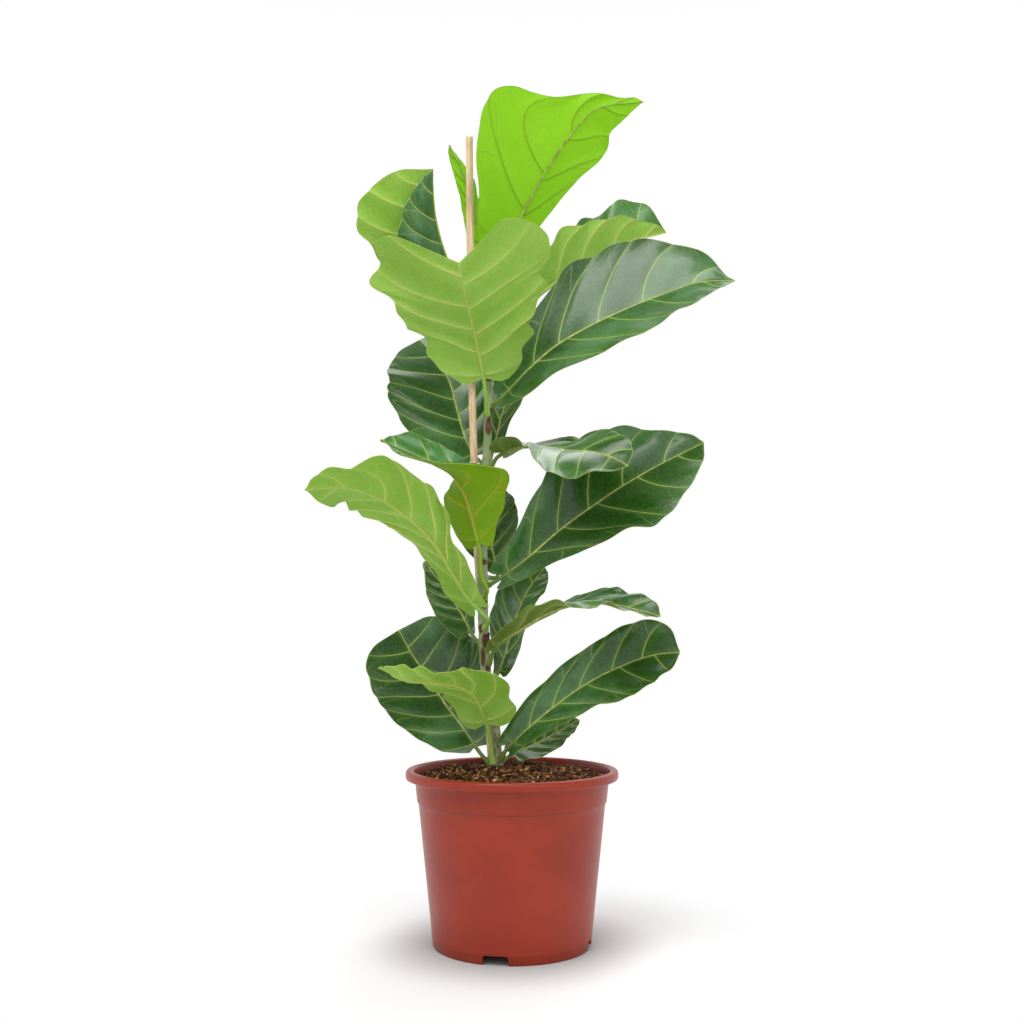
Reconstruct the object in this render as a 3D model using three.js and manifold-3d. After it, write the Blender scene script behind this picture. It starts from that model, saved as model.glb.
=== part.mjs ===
// Potted fiddle leaf fig: nursery pot, soil, support stake, stem, bud, scales and leaves.
// Millimetres, +Z up. Origin: on the pot's axis at the level it stands on. Front of the plant is -Y.
import * as THREE from 'three';
import { mergeVertices } from 'three/addons/utils/BufferGeometryUtils.js';
import Module from 'manifold-3d';

const wasm = await Module();
wasm.setup();

// ---- driving dimensions -------------------------------------------------------------------
const CLEARANCE = 0.3; // between pieces that touch
const CUT_DEPTH = { drain: 6, notch: 16 }; // of what is taken out of the pot

const POT = {
  height: 192.5,
  rimRadius: 120,
  lipInnerRadius: 110.7,
  lipHeight: 10.5,
  bodyTopRadius: 109.5, // under the lip
  stepHeight: 157, // the band above this height stands proud
  stepDepth: 1.4,
  footRadius: 88.2,
  wall: 1.9,
  floorHeight: 10.8, // underside of the raised floor
  padRadius: 28, // centre of the floor, which stands on the ground
  drainRadius: 57, // circle of the drain holes
  drainHole: 5,
  drainCount: 8,
  notchWidth: 27.6,
  notchHeight: 10.2,
  notchCount: 4,
  notchAngle: -101.4, // degrees round from +X, the first notch, near the front
  notchCorner: 3, // bevel of its upper corners
  sides: 48,
};

const SOIL = { edgeHeight: 184.5, moundHeight: 194.5, sides: 40 };

const STAKE = {
  // centre line from the foot in the soil to the top; it crosses behind the stem
  line: [
    [-13, 13, 35],
    [-18, 14, 120],
    [-27, 14, 246],
    [-33, 13, 337],
    [-39.5, 9, 429],
    [-43.5, 1, 533],
    [-46, -7, 614],
    [-47.5, -12, 695],
    [-50, -18, 924],
  ],
  radius: 4.2,
  sides: 12,
  steps: 18,
};

const STEM = {
  // centre line, from inside the soil to the growing tip
  line: [
    [-15, 1, 125],
    [-17, 0, 185],
    [-21, 0, 247],
    [-28, 0, 280],
    [-32, 0, 337],
    [-34, 0, 406],
    [-33, 0, 475],
    [-29, 0, 556],
    [-28, 0, 615],
    [-27, 0, 674],
    [-24, 0, 734],
    [-18, 0, 776],
  ],
  footRadius: 6.8,
  tipRadius: 3.6,
  sides: 12,
  steps: 34,
};

const LEAF = {
  thickness: 1.0,
  ribThickness: 2.4, // extra under the midrib
  petioleRadius: 1.9,
  stemClearance: 2.4, // from the stem's bark to the petiole's end
  tipHalfWidth: 0.7,
  alongBlade: 13, // stations
  alongPetiole: 2,
};

// The flat outline of every leaf: station 0 is the base of the blade, 1 its tip. Where the side
// veins of a station leave the midrib (spring), and how far along the blade they meet the margin
// (reach), both as parts of the blade's length. The veins sweep forward, the two lobes at the
// base sweep back.
const STATION = [0, 0.05, 0.13, 0.27, 0.41, 0.55, 0.7, 0.84, 0.94, 1];
const REACH = [0, -0.045, 0.06, 0.23, 0.4, 0.56, 0.72, 0.87, 0.965, 1];
const SPRING_POWER = 1.25;
const ACROSS = [-1, -0.62, -0.28, 0, 0.28, 0.62, 1];

// Each leaf: height of its node on the stem, its midrib from there to the tip, the length of its
// petiole, the blade's half widths on the two sides at the eight inner stations, the way its
// upper face looks from base to tip, and the angle in degrees that each half is folded up from
// flat, plus the angle it curls by on its way to the margin. Notch lengthens the lobes at the tip.
const LEAVES = [
  {
    name: 'leaf_01',
    node: 197,
    line: [[-36, 10, 208], [-44, 20, 218], [-59, 30, 238], [-74, 37, 256], [-88, 41, 276],
      [-102, 44, 297], [-118, 45, 319], [-134, 43, 348]],
    petiole: 28,
    left: [16, 38, 54, 64, 72, 70, 62, 40],
    right: [18, 32, 50, 62, 68, 66, 58, 38],
    facing: [[0.15, -0.85, 0.45], [0.15, -0.85, 0.45]],
    fold: [10, 10],
    curl: [8, 8],
    notch: 0.02,
  },
  {
    name: 'leaf_02',
    node: 203,
    line: [[-25, -14, 228], [-32, -28, 255], [-42, -48, 277], [-59, -66, 289], [-83, -82, 294],
      [-111, -94, 297], [-141, -102, 310]],
    petiole: 44,
    left: [20, 34, 38, 38, 38, 34, 24, 12],
    right: [20, 32, 38, 38, 36, 34, 24, 12],
    facing: [[0.05, 0.75, 0.6], [0.1, 0.4, 0.9], [0, 0.12, 1]],
    fold: [10, 10],
    curl: [0, 0],
    notch: 0,
  },
  {
    name: 'leaf_03',
    node: 206,
    line: [[-5, -10, 216], [20, -22, 241], [53, -34, 269], [86, -42, 292], [124, -50, 311],
      [156, -56, 322], [183, -62, 325]],
    petiole: 18,
    left: [12, 18, 26, 30, 34, 38, 40, 26],
    right: [14, 18, 28, 38, 46, 50, 44, 28],
    facing: [[-0.2, -0.8, 0.55], [-0.2, -0.8, 0.55]],
    fold: [10, 16],
    curl: [20, 0],
    notch: 0,
  },
  {
    name: 'leaf_04',
    node: 200,
    line: [[3, 16, 208], [26, 28, 216], [50, 41, 227], [80, 56, 242]],
    petiole: 16,
    left: [10, 14, 18, 19, 17, 13, 9, 4],
    right: [12, 16, 20, 20, 18, 14, 9, 4],
    facing: [[0, -0.8, 0.55], [0, -0.8, 0.55]],
    fold: [10, 10],
    curl: [0, 0],
    notch: 0,
  },
  {
    name: 'leaf_05',
    node: 313,
    line: [[-17, -16, 332], [9, -34, 350], [37, -52, 367], [68, -70, 377], [99, -86, 378],
      [130, -98, 372], [157, -106, 364]],
    petiole: 18,
    left: [10, 14, 18, 24, 30, 30, 24, 12],
    right: [8, 13, 20, 30, 38, 40, 32, 16],
    facing: [[-0.2, 0.3, 0.9], [-0.1, 0.1, 1], [0, -0.3, 0.95], [0.1, -0.5, 0.85]],
    fold: [14, 14],
    curl: [0, 0],
    notch: 0,
  },
  {
    name: 'leaf_06',
    node: 333,
    line: [[-46, 16, 343], [-58, 26, 365], [-76, 37, 393], [-92, 46, 413], [-106, 54, 429]],
    petiole: 20,
    left: [14, 22, 28, 28, 25, 19, 9, 4],
    right: [3, 8, 16, 26, 30, 28, 22, 12],
    facing: [[0, -0.85, 0.5], [0, -0.85, 0.5]],
    fold: [10, 10],
    curl: [0, 0],
    notch: 0,
  },
  {
    name: 'leaf_07',
    node: 408,
    line: [[-17, 12, 410], [-19, 26, 425], [-26, 36, 454], [-32, 40, 481], [-37, 42, 507],
      [-39, 43, 524]],
    petiole: 20,
    left: [6, 14, 26, 34, 38, 36, 28, 14],
    right: [10, 16, 24, 32, 38, 38, 30, 14],
    facing: [[0, -0.9, 0.4], [0, -0.9, 0.4]],
    fold: [10, 10],
    curl: [0, 0],
    notch: 0,
  },
  {
    name: 'leaf_08',
    node: 292,
    line: [[-18, 13, 296], [-12, 26, 309], [-6, 33, 327], [0, 38, 348], [8, 42, 372],
      [19, 46, 395], [31, 50, 412], [40, 54, 422]],
    petiole: 16,
    left: [4, 8, 18, 28, 30, 30, 24, 10],
    right: [10, 14, 15, 15, 17, 18, 17, 9],
    facing: [[0, -0.85, 0.5], [0, -0.85, 0.5]],
    fold: [10, 10],
    curl: [0, 0],
    notch: 0,
  },
  {
    name: 'leaf_09',
    node: 352,
    line: [[-27, -20, 360], [-39, -27, 373], [-51, -34, 387], [-66, -54, 412], [-83, -80, 441],
      [-107, -105, 466], [-139, -128, 487], [-174, -140, 497], [-214, -146, 494]],
    petiole: 38,
    left: [14, 16, 20, 25, 43, 57, 38, 14],
    right: [16, 20, 28, 34, 44, 58, 58, 24],
    facing: [[0.15, 0.65, 0.75], [0.1, 0.5, 0.85], [0.1, 0.35, 0.9]],
    fold: [10, 10],
    curl: [0, 0],
    notch: 0,
  },
  {
    name: 'leaf_10',
    node: 400,
    line: [[-11, -8, 409], [20, -18, 432], [54, -28, 461], [90, -36, 487], [126, -42, 511],
      [167, -48, 534], [214, -54, 557]],
    petiole: 20,
    left: [14, 24, 40, 66, 76, 64, 36, 16],
    right: [14, 22, 38, 58, 72, 76, 54, 24],
    facing: [[-0.2, -0.88, 0.45], [-0.2, -0.88, 0.45]],
    fold: [10, 18],
    curl: [0, 0],
    notch: 0,
  },
  {
    name: 'leaf_11',
    node: 386,
    line: [[-28, -20, 394], [-35, -27, 410], [-36, -32, 434], [-42, -42, 461], [-48, -52, 484],
      [-55, -60, 504], [-67, -64, 521], [-88, -60, 533], [-116, -52, 547], [-148, -46, 560]],
    petiole: 72,
    left: [14, 24, 40, 64, 70, 48, 34, 15],
    right: [12, 24, 36, 38, 32, 30, 28, 16],
    facing: [[-0.1, 0.85, 0.5], [-0.1, 0.6, 0.8], [0, -0.1, 1], [0, -0.25, 1], [0, -0.15, 1]],
    fold: [6, 10],
    curl: [0, 46],
    notch: 0,
  },
  {
    name: 'leaf_12',
    node: 538,
    line: [[-14, -10, 549], [6, -22, 557], [37, -45, 554], [60, -65, 547], [84, -85, 543],
      [107, -102, 534], [123, -115, 523]],
    petiole: 20,
    left: [14, 22, 26, 30, 34, 34, 28, 14],
    right: [14, 22, 30, 46, 64, 68, 52, 26],
    facing: [[0, 0.3, 0.95], [0, -0.5, 0.85], [0.1, -0.95, 0.3]],
    fold: [10, 10],
    curl: [0, 0],
    notch: 0,
  },
  {
    name: 'leaf_13',
    node: 532,
    line: [[-32, 20, 540], [-46, 31, 556], [-57, 40, 580], [-67, 52, 615], [-77, 64, 651],
      [-94, 76, 682], [-115, 88, 708]],
    petiole: 36,
    left: [20, 44, 66, 78, 80, 74, 60, 34],
    right: [18, 30, 42, 50, 54, 50, 40, 22],
    facing: [[0.1, -0.85, 0.5], [0.1, -0.85, 0.5]],
    fold: [10, 10],
    curl: [0, 0],
    notch: 0,
  },
  {
    name: 'leaf_14',
    node: 545,
    line: [[-19, 20, 571], [-11, 35, 607], [3, 55, 650], [22, 75, 692]],
    petiole: 15,
    left: [8, 12, 16, 22, 26, 26, 20, 10],
    right: [8, 12, 16, 22, 26, 26, 20, 10],
    facing: [[-0.3, -0.85, 0.4], [-0.3, -0.85, 0.4]],
    fold: [20, 20],
    curl: [0, 0],
    notch: 0,
  },
  {
    name: 'leaf_15',
    node: 609,
    line: [[-11, -10, 617], [18, -20, 646], [50, -30, 672], [88, -38, 693], [128, -44, 711],
      [173, -50, 728], [211, -56, 739], [250, -62, 739]],
    petiole: 20,
    left: [14, 30, 46, 72, 82, 76, 42, 8],
    right: [18, 42, 60, 74, 80, 68, 38, 14],
    facing: [[-0.3, -0.85, 0.45], [-0.3, -0.85, 0.45]],
    fold: [12, 22],
    curl: [0, 0],
    notch: 0,
  },
  {
    name: 'leaf_16',
    node: 600,
    line: [[-30, -21, 616], [-33, -33, 640], [-39, -50, 667], [-45, -72, 691], [-52, -97, 716],
      [-57, -118, 743]],
    petiole: 42,
    left: [22, 44, 56, 66, 80, 92, 94, 62],
    right: [24, 42, 56, 66, 78, 92, 96, 70],
    facing: [[0, 0.75, 0.65], [0, 0.75, 0.65]],
    fold: [12, 12],
    curl: [0, 0],
    notch: 0.28,
  },
  {
    name: 'leaf_17',
    node: 690,
    line: [[2, 15, 714], [34, 22, 748], [79, 28, 781], [117, 34, 804], [151, 38, 819],
      [188, 42, 829]],
    petiole: 30,
    left: [16, 28, 36, 40, 44, 52, 58, 42],
    right: [16, 28, 36, 43, 44, 36, 22, 10],
    facing: [[-0.3, 0, 1], [-0.3, 0, 1]],
    fold: [72, 70],
    curl: [0, 0],
    notch: 0,
  },
  {
    name: 'leaf_18',
    node: 695,
    line: [[-36, -27, 710], [-60, -42, 740], [-76, -62, 772], [-85, -80, 806], [-87, -96, 838], [-86, -104, 852]],
    petiole: 45,
    left: [24, 44, 58, 62, 56, 42, 26, 8],
    right: [18, 30, 48, 66, 80, 86, 70, 34],
    facing: [[0, 0.85, 0.5], [0, 0.9, 0.4]],
    fold: [-105, 5],
    curl: [-95, 0],
    notch: 0,
  },
  {
    name: 'leaf_19',
    node: 770,
    line: [[-5, -12, 796], [10, -25, 825], [38, -40, 873], [67, -50, 913], [98, -58, 941],
      [149, -62, 947]],
    petiole: 18,
    left: [13, 21, 30, 37, 44, 45, 24, 6],
    right: [20, 40, 60, 86, 96, 32, 9, 6],
    facing: [[-0.42, 0.9, 0.1], [-0.42, 0.9, 0.3]],
    fold: [8, 10],
    curl: [0, 0],
    notch: 0,
  },
  {
    name: 'leaf_20',
    node: 758,
    line: [[-35, 11, 786], [-41, 13, 822], [-48, 12, 860], [-60, 10, 893], [-75, 8, 925]],
    petiole: 20,
    left: [5, 9, 13, 14, 13, 11, 8, 4],
    right: [5, 9, 13, 14, 13, 11, 8, 4],
    facing: [[-0.3, 0.9, 0.1], [-0.3, 0.9, 0.1]],
    fold: [25, 25],
    curl: [0, 0],
    notch: 0,
  },
];

// Papery scales at the nodes: height on the stem, way they face in degrees round from +X, length.
const STIPULES = [
  { name: 'stipule_1', height: 587, angle: -75, length: 13 },
  { name: 'stipule_2', height: 648, angle: -60, length: 15 },
  { name: 'stipule_3', height: 340, angle: -55, length: 12 },
];

// ---- materials ----------------------------------------------------------------------------
function material(color, roughness) {
  return new THREE.MeshStandardMaterial({ color, roughness, metalness: 0 });
}

const PLASTIC = material('#9e4430', 0.5);
const EARTH = material('#3c2a1a', 0.95);
const WOOD = material('#dcbf9c', 0.75);
const BARK = material('#7c8a5c', 0.8);
const SHEATH = material('#8fae4c', 0.6);
const SCALE = material('#6a4630', 0.85);
const DARK_LEAF = material('#2f5f33', 0.4);
const LIGHT_LEAF = material('#86ad55', 0.5);
const YOUNG_LEAF = material('#7fc22e', 0.45);
const LIGHT = ['leaf_02', 'leaf_09', 'leaf_11', 'leaf_16', 'leaf_17', 'leaf_18'];
const YOUNG = ['leaf_19', 'leaf_20'];

// ---- helpers ------------------------------------------------------------------------------
const vector = (point) => new THREE.Vector3(...point);
const radians = (degrees) => THREE.MathUtils.degToRad(degrees);

function welded(geometry) {
  const bare = geometry.clone();
  bare.deleteAttribute('normal');
  bare.deleteAttribute('uv');
  return mergeVertices(bare, 1e-4);
}

function toSolid(geometry) {
  const mesh = welded(geometry);
  return new wasm.Manifold(
    new wasm.Mesh({
      numProp: 3,
      vertProperties: new Float32Array(mesh.attributes.position.array),
      triVerts: new Uint32Array(mesh.index.array),
    }),
  );
}

function toGeometry(solid) {
  const mesh = solid.getMesh();
  const geometry = new THREE.BufferGeometry();
  geometry.setAttribute('position', new THREE.BufferAttribute(mesh.vertProperties, 3));
  geometry.setIndex(new THREE.BufferAttribute(mesh.triVerts, 1));
  return geometry;
}

function lathe(profile, sides) {
  const points = profile.map(([radius, height]) => new THREE.Vector2(radius, height));
  return new THREE.LatheGeometry(points, sides).rotateX(Math.PI / 2);
}

function polygonShape(radius, sides) {
  const shape = new THREE.Shape();
  for (let i = 0; i < sides; i += 1) {
    const angle = (2 * Math.PI * i) / sides;
    const [x, y] = [radius * Math.cos(angle), radius * Math.sin(angle)];
    if (i === 0) shape.moveTo(x, y);
    else shape.lineTo(x, y);
  }
  shape.closePath();
  return shape;
}

function smoothCurve(points) {
  return new THREE.CatmullRomCurve3(points, false, 'catmullrom', 0.5);
}

function tube(curve, radius, sides, steps) {
  return new THREE.ExtrudeGeometry(polygonShape(radius, sides), {
    steps,
    bevelEnabled: false,
    extrudePath: curve,
  });
}

// value of a list of numbers at part t of the way, through smooth slopes at its knots
function throughKnots(knots, values, t) {
  const last = knots.length - 1;
  let i = 0;
  while (i < last - 1 && t > knots[i + 1]) i += 1;
  const slope = (k) => {
    if (k === 0) return (1.6 * (values[1] - values[0])) / (knots[1] - knots[0]);
    if (k === last) return (1.6 * (values[last] - values[last - 1])) / (knots[last] - knots[last - 1]);
    return (values[k + 1] - values[k - 1]) / (knots[k + 1] - knots[k - 1]);
  };
  const span = knots[i + 1] - knots[i];
  const s = (t - knots[i]) / span;
  const a = (2 * s ** 3 - 3 * s ** 2 + 1) * values[i] + (s ** 3 - 2 * s ** 2 + s) * span * slope(i);
  const b = (3 * s ** 2 - 2 * s ** 3) * values[i + 1] + (s ** 3 - s ** 2) * span * slope(i + 1);
  return a + b;
}

// ---- pot and soil -------------------------------------------------------------------------
function wallRadius(height) {
  const { footRadius, bodyTopRadius, stepHeight, stepDepth, lipHeight } = POT;
  const top = POT.height - lipHeight;
  const plain = footRadius + ((bodyTopRadius - stepDepth - footRadius) * height) / top;
  return height > stepHeight ? plain + stepDepth : plain;
}

function buildPot() {
  const { wall, floorHeight, padRadius, rimRadius, lipInnerRadius, height, lipHeight } = POT;
  const lipFoot = height - lipHeight;
  const lipMiddle = (rimRadius + lipInnerRadius) / 2;
  const inside = (z) => wallRadius(z) - wall;
  const outside = [
    [0, 0],
    [padRadius, 0],
    [padRadius + 5, floorHeight],
    [wallRadius(floorHeight) - 3, floorHeight],
    [wallRadius(0) - 2.6, 0],
    [wallRadius(0), 0],
    [wallRadius(POT.stepHeight - 1), POT.stepHeight - 1],
    [wallRadius(POT.stepHeight + 1), POT.stepHeight + 1],
    [wallRadius(lipFoot), lipFoot],
    [rimRadius - 2.2, lipFoot - 0.6],
    [rimRadius, lipFoot + 2],
    [rimRadius, height - 4],
    [rimRadius - 2.2, height - 1],
    [lipMiddle, height],
    [lipInnerRadius + 1.6, height - 0.8],
    [lipInnerRadius, height - 3],
    [inside(lipFoot), lipFoot - 2],
    [inside(POT.stepHeight - 2), POT.stepHeight - 2],
    [inside(floorHeight + wall), floorHeight + wall],
    [padRadius + 4, floorHeight + wall],
    [padRadius - 1, wall],
    [0, wall],
  ];
  let pot = toSolid(lathe(outside, POT.sides));
  for (let i = 0; i < POT.drainCount; i += 1) {
    const angle = (2 * Math.PI * (i + 0.5)) / POT.drainCount;
    const hole = new THREE.CylinderGeometry(POT.drainHole, POT.drainHole, CUT_DEPTH.drain, 10);
    hole.rotateX(Math.PI / 2);
    hole.translate(
      POT.drainRadius * Math.cos(angle),
      POT.drainRadius * Math.sin(angle),
      floorHeight + wall / 2,
    );
    pot = pot.subtract(toSolid(hole));
  }
  for (let i = 0; i < POT.notchCount; i += 1) {
    const cutter = new THREE.ExtrudeGeometry(notchShape(), {
      depth: CUT_DEPTH.notch,
      bevelEnabled: false,
    });
    cutter.rotateX(Math.PI / 2);
    cutter.rotateZ(Math.PI / 2);
    cutter.translate(POT.footRadius - CUT_DEPTH.notch / 2, 0, 0);
    cutter.rotateZ(radians(POT.notchAngle) + (2 * Math.PI * i) / POT.notchCount);
    pot = pot.subtract(toSolid(cutter));
  }
  return toGeometry(pot);
}

function notchShape() {
  const half = POT.notchWidth / 2;
  const top = POT.notchHeight;
  const corner = POT.notchCorner;
  const shape = new THREE.Shape();
  shape.moveTo(-half, -2);
  shape.lineTo(half, -2);
  shape.lineTo(half, top - corner);
  shape.lineTo(half - corner, top);
  shape.lineTo(corner - half, top);
  shape.lineTo(-half, top - corner);
  shape.closePath();
  return shape;
}

function soilHeight(radius) {
  const part = Math.min(radius / (POT.lipInnerRadius - 4), 1);
  return SOIL.edgeHeight + (SOIL.moundHeight - SOIL.edgeHeight) * Math.cos((part * Math.PI) / 2);
}

function buildSoil() {
  const { wall, floorHeight, padRadius } = POT;
  const inside = (z) => wallRadius(z) - wall - CLEARANCE;
  const floor = floorHeight + wall + CLEARANCE;
  const edge = inside(SOIL.edgeHeight) - 0.6;
  const profile = [
    [0, wall + CLEARANCE],
    [padRadius - 1.6, wall + CLEARANCE],
    [padRadius + 3.8, floor],
    [inside(floor) - 0.4, floor],
    [inside(POT.stepHeight - 2) - 0.2, POT.stepHeight - 2],
    [edge, SOIL.edgeHeight],
  ];
  for (const part of [0.8, 0.6, 0.4, 0.2, 0]) {
    profile.push([edge * part, soilHeight(edge * part)]);
  }
  return toSolid(lathe(profile, SOIL.sides));
}

// ---- stem, stake, bud ---------------------------------------------------------------------
const stemCurve = smoothCurve(STEM.line.map(vector));

function stemRadiusAt(part) {
  return THREE.MathUtils.lerp(STEM.footRadius, STEM.tipRadius, part ** 1.3);
}

function taperedStem(extra) {
  const geometry = tube(stemCurve, 1, STEM.sides, STEM.steps);
  const position = geometry.attributes.position;
  const centres = stemCurve.getSpacedPoints(STEM.steps);
  for (let i = 0; i < position.count; i += 1) {
    const point = new THREE.Vector3().fromBufferAttribute(position, i);
    let nearest = 0;
    centres.forEach((centre, k) => {
      if (centre.distanceTo(point) < centres[nearest].distanceTo(point)) nearest = k;
    });
    const radius = stemRadiusAt(nearest / STEM.steps) + extra;
    point.sub(centres[nearest]).multiplyScalar(radius).add(centres[nearest]);
    position.setXYZ(i, point.x, point.y, point.z);
  }
  return geometry;
}

// the stem's centre and radius at a height
function stemAt(height) {
  let [low, high] = [0, 1];
  for (let i = 0; i < 30; i += 1) {
    const middle = (low + high) / 2;
    if (stemCurve.getPointAt(middle).z < height) low = middle;
    else high = middle;
  }
  return { centre: stemCurve.getPointAt(low), radius: stemRadiusAt(low) };
}

function buildStake(extra) {
  return tube(smoothCurve(STAKE.line.map(vector)), STAKE.radius + extra, STAKE.sides, STAKE.steps);
}

function buildBud() {
  const tip = vector(STEM.line[STEM.line.length - 1]);
  const lean = new THREE.Vector3(-0.25, 0.12, 1).normalize();
  const profile = [[0, 0], [2.6, 0.6], [3.9, 5], [3.6, 12], [2.2, 22], [0.9, 29], [0, 31]];
  const bud = lathe(profile, 12);
  bud.applyQuaternion(new THREE.Quaternion().setFromUnitVectors(new THREE.Vector3(0, 0, 1), lean));
  bud.translate(tip.x, tip.y, tip.z + CLEARANCE + 1.2);
  return bud;
}

function buildStipule({ height, angle, length }) {
  const { centre, radius } = stemAt(height);
  const scale = new THREE.SphereGeometry(0.5, 8, 6);
  scale.scale(1.4, length * 0.4, length);
  scale.rotateY(radians(12));
  scale.translate(radius + 2.4, 0, 0);
  scale.rotateZ(radians(angle));
  scale.translate(centre.x, centre.y, height);
  return scale;
}

// ---- leaves -------------------------------------------------------------------------------
function mix(list, part) {
  const place = part * (list.length - 1);
  const i = Math.min(Math.floor(place), list.length - 2);
  return vector(list[i]).lerp(vector(list[i + 1]), place - i);
}

// midrib of a leaf from the stem to its tip, and its frame at a distance along the blade
function leafSpine(leaf) {
  const { centre, radius } = stemAt(leaf.node);
  const outward = vector(leaf.line[0]).sub(centre).setZ(0).normalize();
  const start = outward.multiplyScalar(radius + LEAF.stemClearance).add(centre);
  const curve = smoothCurve([start, ...leaf.line.map(vector)]);
  const total = curve.getLength();
  const blade = total - leaf.petiole;
  const frameAt = (along) => {
    const distance = along + leaf.petiole;
    const part = THREE.MathUtils.clamp(distance / total, 0, 1);
    const tangent = curve.getTangentAt(part);
    const point = curve.getPointAt(part);
    point.addScaledVector(tangent, distance - part * total);
    const up = mix(leaf.facing, THREE.MathUtils.clamp(along / blade, 0, 1));
    const side = new THREE.Vector3().crossVectors(tangent, up).normalize();
    const normal = new THREE.Vector3().crossVectors(side, tangent);
    return { point, tangent, side, normal };
  };
  return { blade, frameAt };
}

// where the flat blade's point (station t, v across from -1 to 1) lies: along and across, in mm
function flatPoint(leaf, blade, t, v) {
  const reach = REACH.map((value, k) => value + leaf.notch * Math.max(0, (k - 5) / 3) * (k < 9));
  const widths = [0, ...(v < 0 ? leaf.left : leaf.right), 0];
  const spring = t ** SPRING_POWER;
  const end = throughKnots(STATION, reach, t);
  const half = Math.max(throughKnots(STATION, widths, t), LEAF.tipHalfWidth);
  const a = Math.abs(v);
  const bend = spring + 0.35 * (end - spring);
  return {
    along: ((1 - a) ** 2 * spring + 2 * a * (1 - a) * bend + a * a * end) * blade,
    across: a * half,
  };
}

function leafPoint(leaf, spine, t, v, lower) {
  const onBlade = t >= 0;
  const a = Math.abs(v);
  const side = Math.sign(v);
  const flat = onBlade
    ? flatPoint(leaf, spine.blade, t, v)
    : { along: t * leaf.petiole, across: a * LEAF.petioleRadius };
  const frame = spine.frameAt(flat.along);
  const half = v < 0 ? 0 : 1;
  const fold = onBlade ? radians(leaf.fold[half]) : 0;
  const curl = onBlade ? radians(leaf.curl[half]) : 0;
  const steps = 8;
  let [out, up] = [0, 0];
  for (let k = 0; k < steps; k += 1) {
    const angle = fold + (curl * a * (k + 0.5)) / steps;
    out += (Math.cos(angle) * flat.across) / steps;
    up += (Math.sin(angle) * flat.across) / steps;
  }
  const point = frame.point;
  point.addScaledVector(frame.side, out * side);
  point.addScaledVector(frame.normal, up);
  if (lower) {
    const slant = fold + curl * a;
    const rib = v === 0 || !onBlade ? LEAF.ribThickness * (1 - 0.75 * Math.max(t, 0)) : 0;
    const depth = LEAF.thickness + rib * (onBlade ? 1 : 1 - 0.6 * a);
    point.addScaledVector(frame.normal, -depth * Math.cos(slant));
    point.addScaledVector(frame.side, depth * Math.sin(slant) * side);
  }
  return point;
}

function buildLeaf(leaf) {
  const spine = leafSpine(leaf);
  const rows = LEAF.alongPetiole + LEAF.alongBlade;
  const columns = ACROSS.length - 1;
  const geometry = new THREE.BoxGeometry(1, 1, 1, columns, rows, 1);
  const position = geometry.attributes.position;
  for (let i = 0; i < position.count; i += 1) {
    const row = Math.round((position.getY(i) + 0.5) * rows) - LEAF.alongPetiole;
    const t = row < 0 ? row / LEAF.alongPetiole : (row + 0.02) / (LEAF.alongBlade + 0.02);
    const v = ACROSS[Math.round((position.getX(i) + 0.5) * columns)];
    const point = leafPoint(leaf, spine, t, v, position.getZ(i) < 0);
    position.setXYZ(i, point.x, point.y, point.z);
  }
  return welded(geometry);
}

// ---- assembly -----------------------------------------------------------------------------
const plant = new THREE.Group();

function place(name, geometry, finish) {
  const mesh = new THREE.Mesh(geometry, finish);
  mesh.name = name;
  plant.add(mesh);
}

place('pot', buildPot(), PLASTIC);
const stemRoom = toSolid(taperedStem(CLEARANCE));
const stakeRoom = toSolid(buildStake(CLEARANCE));
place('soil', toGeometry(buildSoil().subtract(stemRoom).subtract(stakeRoom)), EARTH);
place('stake', buildStake(0), WOOD);
place('stem', taperedStem(0), BARK);
place('bud', buildBud(), SHEATH);
for (const stipule of STIPULES) {
  place(stipule.name, buildStipule(stipule), SCALE);
}
for (const leaf of LEAVES) {
  let finish = DARK_LEAF;
  if (LIGHT.includes(leaf.name)) finish = LIGHT_LEAF;
  if (YOUNG.includes(leaf.name)) finish = YOUNG_LEAF;
  place(leaf.name, buildLeaf(leaf), finish);
}

export default plant;
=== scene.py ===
"""Looks of the potted fiddle leaf fig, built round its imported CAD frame.

The leaves are veined blades on a midrib, the stem is a woody shoot with nodes, the pot is a turned
plastic shell, and the soil is a bed of crumbs. Lengths in the tables are millimetres in the CAD
frame (+Z up, origin under the pot's axis, -Y to the front); meshes are made in metres.
"""

import logging
import math
import random
from dataclasses import dataclass, field
from enum import Enum
from itertools import pairwise
from typing import Callable, Sequence

import bpy
import numpy as np
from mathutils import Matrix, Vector, noise


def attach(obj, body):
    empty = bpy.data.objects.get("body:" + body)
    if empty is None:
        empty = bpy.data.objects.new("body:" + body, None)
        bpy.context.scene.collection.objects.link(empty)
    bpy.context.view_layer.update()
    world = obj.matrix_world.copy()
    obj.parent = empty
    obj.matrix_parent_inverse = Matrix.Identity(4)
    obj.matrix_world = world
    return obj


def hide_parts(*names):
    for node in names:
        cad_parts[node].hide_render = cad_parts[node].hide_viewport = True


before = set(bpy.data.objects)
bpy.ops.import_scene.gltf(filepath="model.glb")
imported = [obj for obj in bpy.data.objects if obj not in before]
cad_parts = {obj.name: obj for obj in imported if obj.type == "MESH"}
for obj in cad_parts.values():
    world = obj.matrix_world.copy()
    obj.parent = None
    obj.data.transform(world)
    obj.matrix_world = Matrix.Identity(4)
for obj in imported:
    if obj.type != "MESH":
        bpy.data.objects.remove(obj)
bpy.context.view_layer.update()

LOG = logging.getLogger("fiddle_leaf_fig")
MM = 0.001
BODY = "root"

Colour = tuple[float, float, float]
Point = tuple[float, float, float]
Placing = Callable[[np.ndarray, np.ndarray], np.ndarray]


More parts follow.
